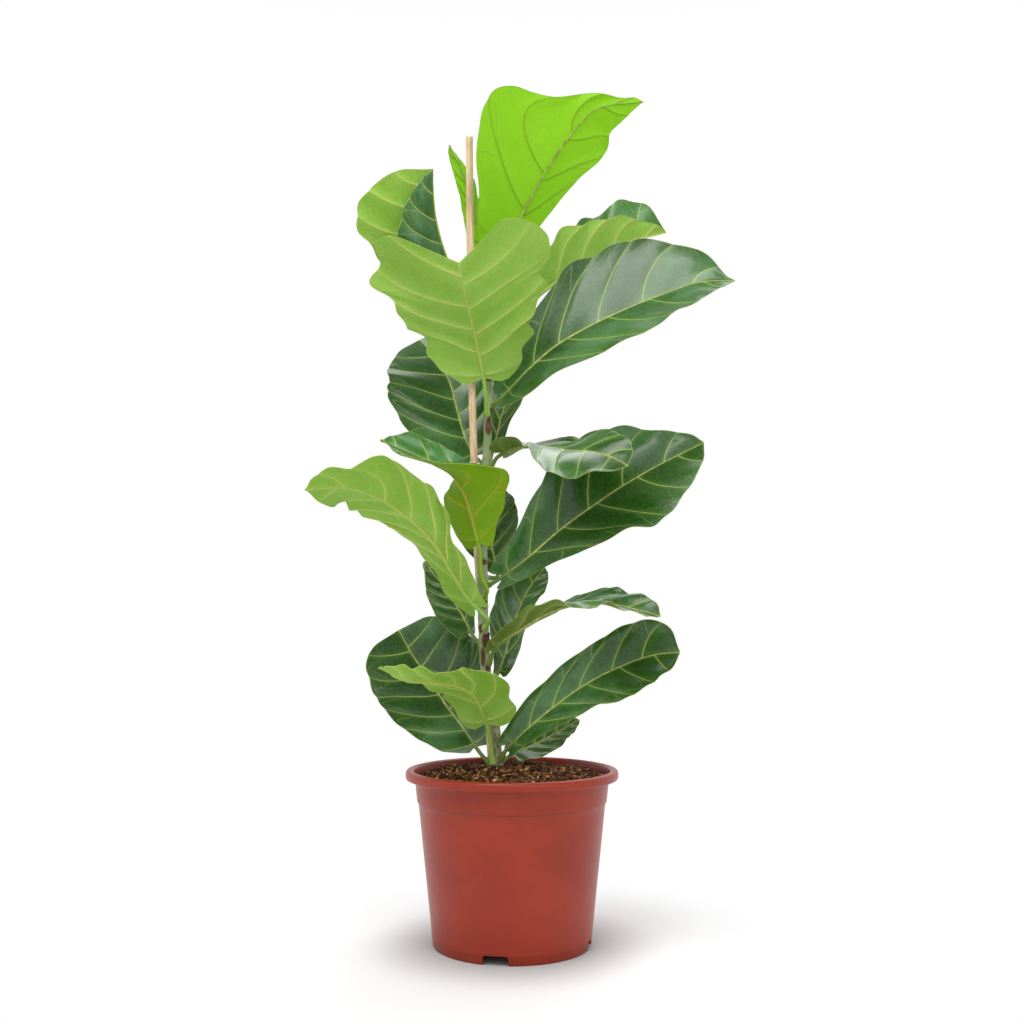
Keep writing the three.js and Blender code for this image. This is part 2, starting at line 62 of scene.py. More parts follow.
# ---------------------------------------------------------------------------------------------
# Small maths
# ---------------------------------------------------------------------------------------------
def srgb(red: int, green: int, blue: int) -> Colour:
    """Linear colour of a 0 to 255 display colour."""
    parts = (value / 255 for value in (red, green, blue))
    return tuple(p / 12.92 if p <= 0.04045 else ((p + 0.055) / 1.055) ** 2.4 for p in parts)


def unit(vectors: np.ndarray) -> np.ndarray:
    """Vectors along the last axis, scaled to length 1."""
    return vectors / np.maximum(np.linalg.norm(vectors, axis=-1, keepdims=True), 1e-12)


def through_knots(knots: Sequence[float], values: Sequence[float], at: np.ndarray) -> np.ndarray:
    """Smooth curve through values at knots, as the CAD leaves use.

    Args:
        knots: places of the values, rising from 0 to 1.
        values: one value a knot.
        at: places to read the curve at.

    Returns:
        The curve's values there.
    """
    k, v = np.asarray(knots, float), np.asarray(values, float)
    slope = np.zeros_like(v)
    slope[1:-1] = (v[2:] - v[:-2]) / (k[2:] - k[:-2])
    slope[0] = 1.6 * (v[1] - v[0]) / (k[1] - k[0])
    slope[-1] = 1.6 * (v[-1] - v[-2]) / (k[-1] - k[-2])
    i = np.clip(np.searchsorted(k, at, side="right") - 1, 0, len(k) - 2)
    span = k[i + 1] - k[i]
    s = (at - k[i]) / span
    low = (2 * s**3 - 3 * s**2 + 1) * v[i] + (s**3 - 2 * s**2 + s) * span * slope[i]
    high = (3 * s**2 - 2 * s**3) * v[i + 1] + (s**3 - s**2) * span * slope[i + 1]
    return low + high


class Spine:
    """A smooth line through points, read by distance along it."""

    SAMPLES = 40

    def __init__(self, points: Sequence[Point]) -> None:
        """Samples a Catmull-Rom curve.

        Args:
            points: the points that the line runs through, in mm.
        """
        p = np.asarray(points, float)
        p = np.vstack([2 * p[0] - p[1], p, 2 * p[-1] - p[-2]])
        s = np.linspace(0, 1, self.SAMPLES, endpoint=False)[:, None]
        runs = []
        for a, b, c, d in zip(p[:-3], p[1:-2], p[2:-1], p[3:]):
            bend = 2 * a - 5 * b + 4 * c - d
            twist = 3 * b - a - 3 * c + d
            runs.append(0.5 * (2 * b + (c - a) * s + bend * s**2 + twist * s**3))
        self.points = np.vstack([*runs, p[-2][None]])
        steps = np.linalg.norm(np.diff(self.points, axis=0), axis=1)
        self.distance = np.concatenate([[0], np.cumsum(steps)])
        self.length = float(self.distance[-1])

    def point(self, along: np.ndarray) -> np.ndarray:
        """Points at distances along the line, carried on straight past its ends.

        Args:
            along: distances in mm from the first point.

        Returns:
            The points, in mm.
        """
        inside = np.clip(along, 0, self.length)
        xyz = [np.interp(inside, self.distance, self.points[:, k]) for k in range(3)]
        return np.stack(xyz, -1) + self.tangent(along) * (along - inside)[..., None]

    def tangent(self, along: np.ndarray) -> np.ndarray:
        """Unit tangents at distances along the line.

        Args:
            along: distances in mm from the first point.

        Returns:
            The unit tangents there.
        """
        middle = np.clip(along, 2, self.length - 2)
        ends = []
        for shift in (-2, 2):
            xyz = [np.interp(middle + shift, self.distance, self.points[:, k]) for k in range(3)]
            ends.append(np.stack(xyz, -1))
        return unit(ends[1] - ends[0])


# ---------------------------------------------------------------------------------------------
# Shader writing
# ---------------------------------------------------------------------------------------------
class Value:
    """A number socket that takes part in Python expressions."""

    def __init__(self, maker: "Shader", socket: bpy.types.NodeSocket) -> None:
        """Wraps an output socket of a maker's node tree."""
        self.maker, self.socket = maker, socket

    def _math(self, operation: str, *operands: "Value | float") -> "Value":
        """A Math node on the operands."""
        inputs = {i: operand for i, operand in enumerate(operands)}
        return self.maker.node("ShaderNodeMath", {"operation": operation}, inputs)

    def __add__(self, other: "Value | float") -> "Value":
        """Sum."""
        return self._math("ADD", self, other)

    def __radd__(self, other: float) -> "Value":
        """Sum with a number first."""
        return self._math("ADD", other, self)

    def __sub__(self, other: "Value | float") -> "Value":
        """Difference."""
        return self._math("SUBTRACT", self, other)

    def __rsub__(self, other: float) -> "Value":
        """Difference from a number."""
        return self._math("SUBTRACT", other, self)

    def __mul__(self, other: "Value | float") -> "Value":
        """Product."""
        return self._math("MULTIPLY", self, other)

    def __rmul__(self, other: float) -> "Value":
        """Product with a number first."""
        return self._math("MULTIPLY", other, self)

    def __pow__(self, other: float) -> "Value":
        """Power."""
        return self._math("POWER", self, other)

    def __rpow__(self, other: float) -> "Value":
        """A number to this power."""
        return self._math("POWER", other, self)

    def __abs__(self) -> "Value":
        """Size without sign."""
        return self._math("ABSOLUTE", self)

    def top(self, other: "Value | float") -> "Value":
        """The larger of two."""
        return self._math("MAXIMUM", self, other)

    def below(self, low: "Value | float", high: "Value | float") -> "Value":
        """1 up to low, falling smoothly to 0 at high.

        Args:
            low: where the fall begins.
            high: where it has reached 0.

        Returns:
            The share.
        """
        inputs = {"Value": self, "From Min": low, "From Max": high, "To Min": 1.0, "To Max": 0.0}
        settings = {"interpolation_type": "SMOOTHSTEP"}
        return self.maker.node("ShaderNodeMapRange", settings, inputs)


class Shader:
    """A material under construction."""

    def __init__(self, name: str) -> None:
        """Starts an empty material of this name.

        Args:
            name: the name that the material gets.
        """
        self.material = bpy.data.materials.new(name)
        self.material.use_nodes = True
        self.tree = self.material.node_tree
        self.tree.nodes.clear()

    def node(self, kind: str, settings: dict, inputs: dict, output: int | str = 0) -> Value:
        """Adds a node.

        Args:
            kind: the node's type name.
            settings: attributes to set first; "stops" holds a colour ramp's (place, colour) pairs.
            inputs: socket names or numbers, with a number, colour, vector or Value each.
            output: which output to hand back.

        Returns:
            The output, wrapped.
        """
        made = self.tree.nodes.new(kind)
        for key, value in settings.items():
            if key == "stops":
                self._stops(made.color_ramp, value)
            else:
                setattr(made, key, value)
        for key, value in inputs.items():
            if isinstance(value, Value):
                self.tree.links.new(value.socket, made.inputs[key])
            elif isinstance(value, tuple) and len(made.inputs[key].default_value) > len(value):
                made.inputs[key].default_value = (*value, 1.0)
            else:
                made.inputs[key].default_value = value
        return Value(self, made.outputs[output])

    @staticmethod
    def _stops(ramp: bpy.types.ColorRamp, stops: Sequence[tuple[float, Colour]]) -> None:
        """Sets a colour ramp's stops.

        Args:
            ramp: the node's ramp.
            stops: place and colour of each stop, in order.
        """
        while len(ramp.elements) < len(stops):
            ramp.elements.new(0.5)
        for element, (place, colour) in zip(ramp.elements, stops):
            element.position, element.color = place, (*colour, 1.0)

    def place(self, scale: Point = (1, 1, 1)) -> Value:
        """Object coordinates in metres, scaled."""
        at = self.node("ShaderNodeTexCoord", {}, {}, "Object")
        return self.node("ShaderNodeMapping", {}, {"Vector": at, "Scale": scale})

    def noise(self, at: Value, scale: float, detail: float = 3.0, rough: float = 0.5) -> Value:
        """Cloud noise between 0 and 1."""
        inputs = {"Vector": at, "Scale": scale, "Detail": detail, "Roughness": rough}
        return self.node("ShaderNodeTexNoise", {}, inputs)

    def attribute(self, name: str) -> tuple[Value, Value, Value]:
        """The three numbers of a vector attribute of the piece.

        Args:
            name: the attribute's name.

        Returns:
            Its X, Y and Z.
        """
        read = self.node("ShaderNodeAttribute", {"attribute_name": name}, {}, "Vector")
        parts = (self.node("ShaderNodeSeparateXYZ", {}, {"Vector": read}, axis) for axis in "XYZ")
        return tuple(parts)

    def mix(self, share: Value | float, low: Value | Colour, high: Value | Colour) -> Value:
        """Colour between low and high."""
        settings = {"data_type": "RGBA"}
        return self.node("ShaderNodeMix", settings, {0: share, 6: low, 7: high}, 2)

    def ramp(self, at: Value, stops: Sequence[tuple[float, Colour]]) -> Value:
        """Colour ramp."""
        return self.node("ShaderNodeValToRGB", {"stops": stops}, {"Fac": at}, "Color")

    def bump(self, height: Value, distance: float, strength: float = 1.0) -> Value:
        """Normal of a height field."""
        inputs = {"Strength": strength, "Distance": distance, "Height": height}
        return self.node("ShaderNodeBump", {}, inputs, "Normal")

    def finish(self, shader: Value) -> bpy.types.Material:
        """Joins the shader to the material's output.

        Args:
            shader: the surface shader.

        Returns:
            The material.
        """
        output = self.tree.nodes.new("ShaderNodeOutputMaterial")
        self.tree.links.new(shader.socket, output.inputs["Surface"])
        return self.material

    def surface(self, inputs: dict) -> Value:
        """A Principled shader with these inputs."""
        return self.node("ShaderNodeBsdfPrincipled", {}, inputs, "BSDF")


# ---------------------------------------------------------------------------------------------
# Finishes
# ---------------------------------------------------------------------------------------------
class Tone(Enum):
    """How old a leaf is, which sets its greens."""

    DEEP = "deep"
    LIGHT = "light"
    FRESH = "fresh"
    YOUNG = "young"


@dataclass(frozen=True)
class LeafColours:
    """Greens of one leaf tone, and how much light comes through it."""

    upper: Colour
    upper_dark: Colour
    # painted sheen: bluish-grey green mixed into the upper face in patches, standing in for
    # reflections
    painted_sheen: Colour
    under: Colour
    under_dark: Colour
    upper_vein: Colour
    under_vein: Colour
    rib: Colour
    glow: Colour
    through: float
    gloss: float


LEAF_COLOURS: dict[Tone, LeafColours] = {
    Tone.DEEP: LeafColours(
        upper=srgb(50, 108, 24), upper_dark=srgb(15, 58, 10), painted_sheen=srgb(96, 138, 98),
        under=srgb(118, 144, 58), under_dark=srgb(88, 116, 38),
        upper_vein=srgb(168, 186, 92), under_vein=srgb(164, 178, 92),
        rib=srgb(186, 194, 106), glow=srgb(110, 175, 30), through=0.08, gloss=0.3,
    ),
    Tone.LIGHT: LeafColours(
        upper=srgb(48, 108, 38), upper_dark=srgb(24, 74, 26), painted_sheen=srgb(110, 150, 122),
        under=srgb(164, 206, 94), under_dark=srgb(128, 180, 50),
        upper_vein=srgb(190, 204, 120), under_vein=srgb(214, 220, 116),
        rib=srgb(176, 178, 76), glow=srgb(180, 232, 60), through=0.26, gloss=0.36,
    ),
    Tone.FRESH: LeafColours(
        upper=srgb(56, 126, 44), upper_dark=srgb(32, 92, 34), painted_sheen=srgb(130, 170, 142),
        under=srgb(160, 198, 36), under_dark=srgb(122, 172, 12),
        upper_vein=srgb(186, 204, 110), under_vein=srgb(206, 200, 64),
        rib=srgb(178, 156, 48), glow=srgb(170, 220, 0), through=0.34, gloss=0.36,
    ),
    Tone.YOUNG: LeafColours(
        upper=srgb(120, 184, 46), upper_dark=srgb(96, 160, 30), painted_sheen=srgb(150, 200, 90),
        under=srgb(160, 214, 46), under_dark=srgb(136, 198, 24),
        upper_vein=srgb(190, 214, 96), under_vein=srgb(110, 150, 24),
        rib=srgb(118, 126, 40), glow=srgb(196, 240, 20), through=0.45, gloss=0.38,
    ),
}


@dataclass(frozen=True)
class VeinSizes:
    """Half widths of the lines on a blade, and how far they fade, in tenths of a metre."""

    side: float = 0.0042
    side_taper: float = 0.0026
    side_fade: float = 0.0045
    side_halo: float = 0.05
    arch: float = 0.001
    arch_fade: float = 0.004
    arch_from: float = 0.6
    arch_lean: float = 2.7
    rib: float = 0.012
    rib_taper: float = 0.009
    rib_fade: float = 0.006
    rib_halo: float = 0.08
    margin: float = 0.003
    margin_fade: float = 0.006


@dataclass(frozen=True)
class FaceLook:
    """How strongly each part of a blade's finish shows on one face."""

    lines: float
    line_height: float
    net: float
    net_height: float
    halo: float
    bump: float
    specular: float
    coat: float


UPPER_LOOK = FaceLook(
    lines=0.72, line_height=-0.3, net=0.05, net_height=-0.07, halo=0.16, bump=0.0006,
    specular=0.5, coat=0.2)
UNDER_LOOK = FaceLook(
    lines=0.75, line_height=1.0, net=0.12, net_height=0.2, halo=0.3, bump=0.0007,
    specular=0.3, coat=0.0)


@dataclass(frozen=True)
class LeafFace:
    """Finish of one face of a leaf blade: veins, margin line, mottling, painted sheen and gloss."""

    tone: Tone
    under: bool
    veins: VeinSizes = VeinSizes()
    mottle: float = 0.55
    # share of the painted sheen on the upper face
    painted_sheen: float = 0.36
    matt: float = 0.6
    coat_roughness: float = 0.14

    def material(self) -> bpy.types.Material:
        """Builds the material.

        Returns:
            The finished material, which reads the blade's "cell" and "edge" attributes.
        """
        colours = LEAF_COLOURS[self.tone]
        look = UNDER_LOOK if self.under else UPPER_LOOK
        vein = colours.under_vein if self.under else colours.upper_vein
        face = "under" if self.under else "upper"
        shader = Shader(f"leaf_{self.tone.value}_{face}")
        at = shader.place()
        cell, out, spacing = shader.attribute("cell")
        rib_gap, margin_gap, along = shader.attribute("edge")
        side_gap = (1 - cell) * 0.5 * spacing
        lines = self._lines(side_gap, cell, out, spacing, rib_gap, margin_gap, along)
        net = self._net(shader, at)
        cloud = shader.noise(at, 34.0, 4.0, 0.6)

        blade = self._blade(shader, at, (1.0 - cell) * (1.0 - 0.5 * out), cloud)
        side_halo = side_gap.below(0.0, self.veins.side_halo)
        halo = side_halo * 0.5 + rib_gap.below(0.0, self.veins.rib_halo) * 0.5
        blade = shader.mix(halo * look.halo, blade, vein)
        blade = shader.mix(net * look.net, blade, vein)

        height = lines * look.line_height + net * look.net_height
        height = height + shader.noise(at, 260.0, 3.0) * 0.1
        rough = self.matt if self.under else colours.gloss
        skin = shader.surface({
            "Base Color": shader.mix(lines * look.lines, blade, vein),
            "Roughness": cloud * 0.16 + (rough - 0.08) + lines * 0.08,
            "Specular IOR Level": look.specular,
            "Coat Weight": look.coat,
            "Coat Roughness": self.coat_roughness,
            "Normal": shader.bump(height, look.bump, 0.8),
        })
        glow = shader.node("ShaderNodeBsdfTranslucent", {}, {"Color": colours.glow}, "BSDF")
        share = colours.through * (1.0 - lines * 0.5)
        both = shader.node("ShaderNodeMixShader", {}, {0: share, 1: skin, 2: glow}, "Shader")
        return shader.finish(both)

    def _lines(
        self, side_gap: Value, cell: Value, out: Value, spacing: Value, rib_gap: Value,
        margin_gap: Value, along: Value,
    ) -> Value:
        """Where midrib, side veins, the arches that join them and the margin line run.

        Args:
            side_gap: distance from the nearest side vein.
            cell: 1 on a side vein, 0 midway between two.
            out: 0 at the midrib, 1 at the margin.
            spacing: distance between side veins.
            rib_gap: distance from the midrib.
            margin_gap: distance from the margin.
            along: 0 at the blade's base, 1 at its tip.

        Returns:
            1 on a line, 0 off it.
        """
        sizes = self.veins
        side_width = sizes.side - sizes.side_taper * out
        side = side_gap.below(side_width, side_width + sizes.side_fade) * (1.0 - 0.6 * out**4.0)
        lean = (out - sizes.arch_from).top(0) * sizes.arch_lean
        arch_gap = abs(cell - (1.0 - lean)) * 0.5 * spacing
        arch = arch_gap.below(sizes.arch, sizes.arch + sizes.arch_fade) * 0.4
        arch = arch * (1.0 - out.below(0.62, 0.7))
        rib_width = sizes.rib - sizes.rib_taper * along
        rib = rib_gap.below(rib_width, rib_width + sizes.rib_fade)
        margin = margin_gap.below(sizes.margin, sizes.margin + sizes.margin_fade) * 0.7
        return side.top(arch).top(rib).top(margin)

    def _blade(self, shader: Shader, at: Value, quilt: Value, cloud: Value) -> Value:
        """Colour of the blade between its veins, darker midway, mottled, with patches of painted sheen
        above.

        Args:
            shader: the material under construction.
            at: object coordinates.
            quilt: 0 at the veins, up to 1 midway between them.
            cloud: cloud noise for the fine mottling.

        Returns:
            The colour.
        """
        colours = LEAF_COLOURS[self.tone]
        base = colours.under if self.under else colours.upper
        dark = colours.under_dark if self.under else colours.upper_dark
        blade = shader.mix(quilt * 0.55 + cloud.below(0.35, 0.68) * 0.25, base, dark)
        broad = shader.noise(at, 9.0, 2.0)
        blade = shader.mix(broad.below(0.4, 0.62) * self.mottle, blade, dark)
        if self.under:
            return blade
        # painted sheen: bluish-grey patches on the upper face that stand in for reflections of the
        # bright surroundings
        sheen_patches = broad * 0.72 + shader.noise(at, 70.0, 5.0, 0.7) * 0.28
        return shader.mix((1.0 - sheen_patches.below(0.48, 0.62)) * self.painted_sheen, blade, colours.painted_sheen)

    @staticmethod
    def _net(shader: Shader, at: Value) -> Value:
        """Fine net of small veins between the side veins.

        Args:
            shader: the material under construction.
            at: object coordinates.

        Returns:
            1 on a small vein, 0 off it.
        """
        wobble = shader.node("ShaderNodeTexNoise", {}, {"Vector": at, "Scale": 90.0}, "Color")
        shifted = shader.node(
            "ShaderNodeMix", {"data_type": "VECTOR"}, {0: 0.012, 4: at, 5: wobble}, 1)
        inputs = {"Vector": shifted, "Scale": 130.0}
        gap = shader.node(
            "ShaderNodeTexVoronoi", {"feature": "DISTANCE_TO_EDGE"}, inputs, "Distance")
        return gap.below(0.03, 0.16)


@dataclass(frozen=True)
class RibFinish:
    """Finish of a petiole and midrib."""

    tone: Tone

    def material(self) -> bpy.types.Material:
        """Builds the material.

        Returns:
            The finished material, which reads the "age" attribute.
        """
        colours = LEAF_COLOURS[self.tone]
        shader = Shader(f"rib_{self.tone.value}")
        at = shader.place((1, 1, 0.35))
        streak = shader.noise(at, 220.0, 3.0)
        stalk, _, _ = shader.attribute("age")
        green = tuple(0.55 * a + 0.35 * b for a, b in zip(colours.under, colours.under_dark))
        tint = shader.mix(stalk, colours.rib, green)
        colour = shader.mix(streak.below(0.38, 0.7) * 0.6, tint, green)
        skin = shader.surface({
            "Base Color": colour,
            "Roughness": streak * 0.2 + 0.4,
            "Normal": shader.bump(streak, 0.0003, 0.6),
        })
        return shader.finish(skin)


@dataclass(frozen=True)
class PotFinish:
    """Satin terracotta-red moulded plastic, a little dusty, with a painted shade line in the crease at
    its step.

    The height of the crease is in metres.
    """

    base: Colour = srgb(150, 42, 12)
    deep: Colour = srgb(138, 36, 8)
    dusty: Colour = srgb(166, 76, 44)
    # colour of the painted shade in the crease under the step
    painted_crease_shade: Colour = srgb(96, 30, 12)
    crease_height: float = 0.1568

    def material(self) -> bpy.types.Material:
        """Builds the material.

        Returns:
            The finished material.
        """
        shader = Shader("pot_plastic")
        at = shader.place()
        cloud = shader.noise(at, 14.0, 4.0, 0.6)
        drag = shader.noise(shader.place((1, 1, 0.12)), 60.0, 4.0, 0.65)
        speck = shader.noise(at, 900.0, 2.0)
        dust = shader.noise(at, 120.0, 5.0, 0.7)
        colour = shader.mix(cloud.below(0.35, 0.65), self.base, self.deep)
        colour = shader.mix(drag.below(0.3, 0.75) * 0.2, colour, self.deep)
        colour = shader.mix((1.0 - dust.below(0.6, 0.85)) * 0.2, colour, self.dusty)
        height = shader.node("ShaderNodeSeparateXYZ", {}, {0: at}, "Z")
        # painted shade: a thin darker line round the pot at the crease under the step
        crease = abs(height - self.crease_height).below(0.0002, 0.0012) * 0.6
        colour = shader.mix(crease, colour, self.painted_crease_shade)
        skin = shader.surface({
            "Base Color": colour,
            "Roughness": 0.26 + dust * 0.2,
            "Specular IOR Level": 0.42,
            "Normal": shader.bump(speck * 0.5 + drag * 0.7, 0.00025, 0.6),
        })
        return shader.finish(skin)


@dataclass(frozen=True)
class SoilFinish:
    """Dark peat with paler crumbs; crumbs carry a shade of their own."""

    crumbs: bool

    def material(self) -> bpy.types.Material:
        """Builds the material.

        Returns:
            The finished material; that of the crumbs reads the "shade" attribute.
        """
        shader = Shader("soil_crumb" if self.crumbs else "soil_bed")
        at = shader.place()
        grain = shader.noise(at, 420.0, 5.0, 0.7)
        if self.crumbs:
            shade, _, _ = shader.attribute("shade")
            mixed = shade * 0.85 + grain * 0.15
        else:
            mixed = shader.noise(at, 160.0, 6.0, 0.75) * 0.9
        stops = (
            (0.0, srgb(38, 20, 10)), (0.4, srgb(72, 42, 22)), (0.66, srgb(112, 70, 40)),
            (0.84, srgb(166, 118, 72)), (1.0, srgb(214, 176, 124)),
        )
        colour = shader.ramp(mixed, stops)
        skin = shader.surface({
            "Base Color": colour,
            "Roughness": 0.86 + grain * 0.12,
            "Specular IOR Level": 0.2,
            "Normal": shader.bump(grain, 0.0009, 0.9),
        })
        return shader.finish(skin)


@dataclass(frozen=True)
class StakeFinish:
    """Bare light wood with grain along the stick."""

    pale: Colour = srgb(232, 206, 170)
    warm: Colour = srgb(205, 165, 126)
    weathered: Colour = srgb(172, 138, 116)

    def material(self) -> bpy.types.Material:
        """Builds the material.

        Returns:
            The finished material.
        """
        shader = Shader("stake_wood")
        fibre = shader.noise(shader.place((1, 1, 0.03)), 700.0, 4.0, 0.6)
        bands = shader.noise(shader.place((1, 1, 0.1)), 130.0, 3.0)
        blotch = shader.noise(shader.place(), 26.0, 3.0)
        colour = shader.mix(fibre.below(0.36, 0.66), self.warm, self.pale)
        colour = shader.mix(bands.below(0.3, 0.5) * 0.5, colour, self.warm)
        colour = shader.mix(blotch.below(0.3, 0.48) * 0.55, colour, self.weathered)
        skin = shader.surface({
            "Base Color": colour,
            "Roughness": 0.6 + fibre * 0.2,
            "Normal": shader.bump(fibre, 0.0004, 0.7),
        })
        return shader.finish(skin)


@dataclass(frozen=True)
class StemFinish:
    """Green shoot turning to grey-brown bark at the foot, with brown scars at the nodes."""

    green: Colour = srgb(112, 140, 78)
    pale: Colour = srgb(150, 160, 116)
    bark: Colour = srgb(96, 78, 54)
    scar: Colour = srgb(88, 52, 34)

    def material(self) -> bpy.types.Material:
        """Builds the material.

        Returns:
            The finished material, which reads the "age" attribute.
        """
        shader = Shader("stem_bark")
        woody, scar, _ = shader.attribute("age")
        at = shader.place((1, 1, 0.5))
        fleck = shader.noise(at, 240.0, 5.0, 0.7)
        patch = shader.noise(at, 70.0, 3.0)
        green = shader.mix(patch.below(0.35, 0.62) * 0.7, self.pale, self.green)
        green = shader.mix((1.0 - fleck.below(0.55, 0.72)) * 0.6, green, self.bark)
        bark = shader.mix(fleck.below(0.35, 0.65), self.pale, self.bark)
        colour = shader.mix(woody * 1.5, green, bark)
        scarred = 1.0 - (scar * (0.6 + fleck * 0.8)).below(0.2, 0.7)
        colour = shader.mix(scarred, colour, self.scar)
        skin = shader.surface({
            "Base Color": colour,
            "Roughness": 0.58 + fleck * 0.3,
            "Normal": shader.bump(fleck + patch * 0.6, 0.0008, 0.8),
        })
        return shader.finish(skin)


@dataclass(frozen=True)
class PaperyFinish:
    """Green sheath or dry brown scale, browner towards its tip."""

    name: str
    body: Colour
    tip: Colour

    def material(self) -> bpy.types.Material:
        """Builds the material.

        Returns:
            The finished material, which reads the "age" attribute.
        """
        shader = Shader(self.name)
        tipward, _, _ = shader.attribute("age")
        fibre = shader.noise(shader.place((1, 1, 0.25)), 420.0, 4.0, 0.6)
        colour = shader.mix((tipward + fibre * 0.5 - 0.25).top(0), self.body, self.tip)
        skin = shader.surface({
            "Base Color": colour,
            "Roughness": 0.5 + fibre * 0.3,
            "Normal": shader.bump(fibre, 0.0004, 0.7),
        })
        return shader.finish(skin)


@dataclass(frozen=True)
class StudioFinish:
    """Plain pale floor with a painted shadow close to the pot, lit evenly white further out."""

    colour: Colour = (0.9, 0.905, 0.905)
    # colour of the painted shadow round the pot
    shade: Colour = (0.5, 0.51, 0.5)
    near: float = 0.14
    far: float = 0.34

    def material(self) -> bpy.types.Material:
        """Builds the material.

        Returns:
            The finished material.
        """
        shader = Shader("studio_floor")
        at = shader.node("ShaderNodeTexCoord", {}, {}, "Object")
        gap = shader.node("ShaderNodeVectorMath", {"operation": "LENGTH"}, {0: at}, "Value")
        # painted shadow: the floor's colour darkens towards the pot's foot
        close = gap.below(0.08, 0.2) ** 1.4
        matt = shader.surface({
            "Base Color": shader.mix(close, self.colour, self.shade), "Roughness": 0.9})
        lit = shader.node("ShaderNodeEmission", {}, {"Color": (1.0, 1.0, 1.0)}, "Emission")
        far = 1.0 - gap.below(self.near, self.far)
        both = shader.node("ShaderNodeMixShader", {}, {0: far, 1: matt, 2: lit}, "Shader")
        return shader.finish(both)


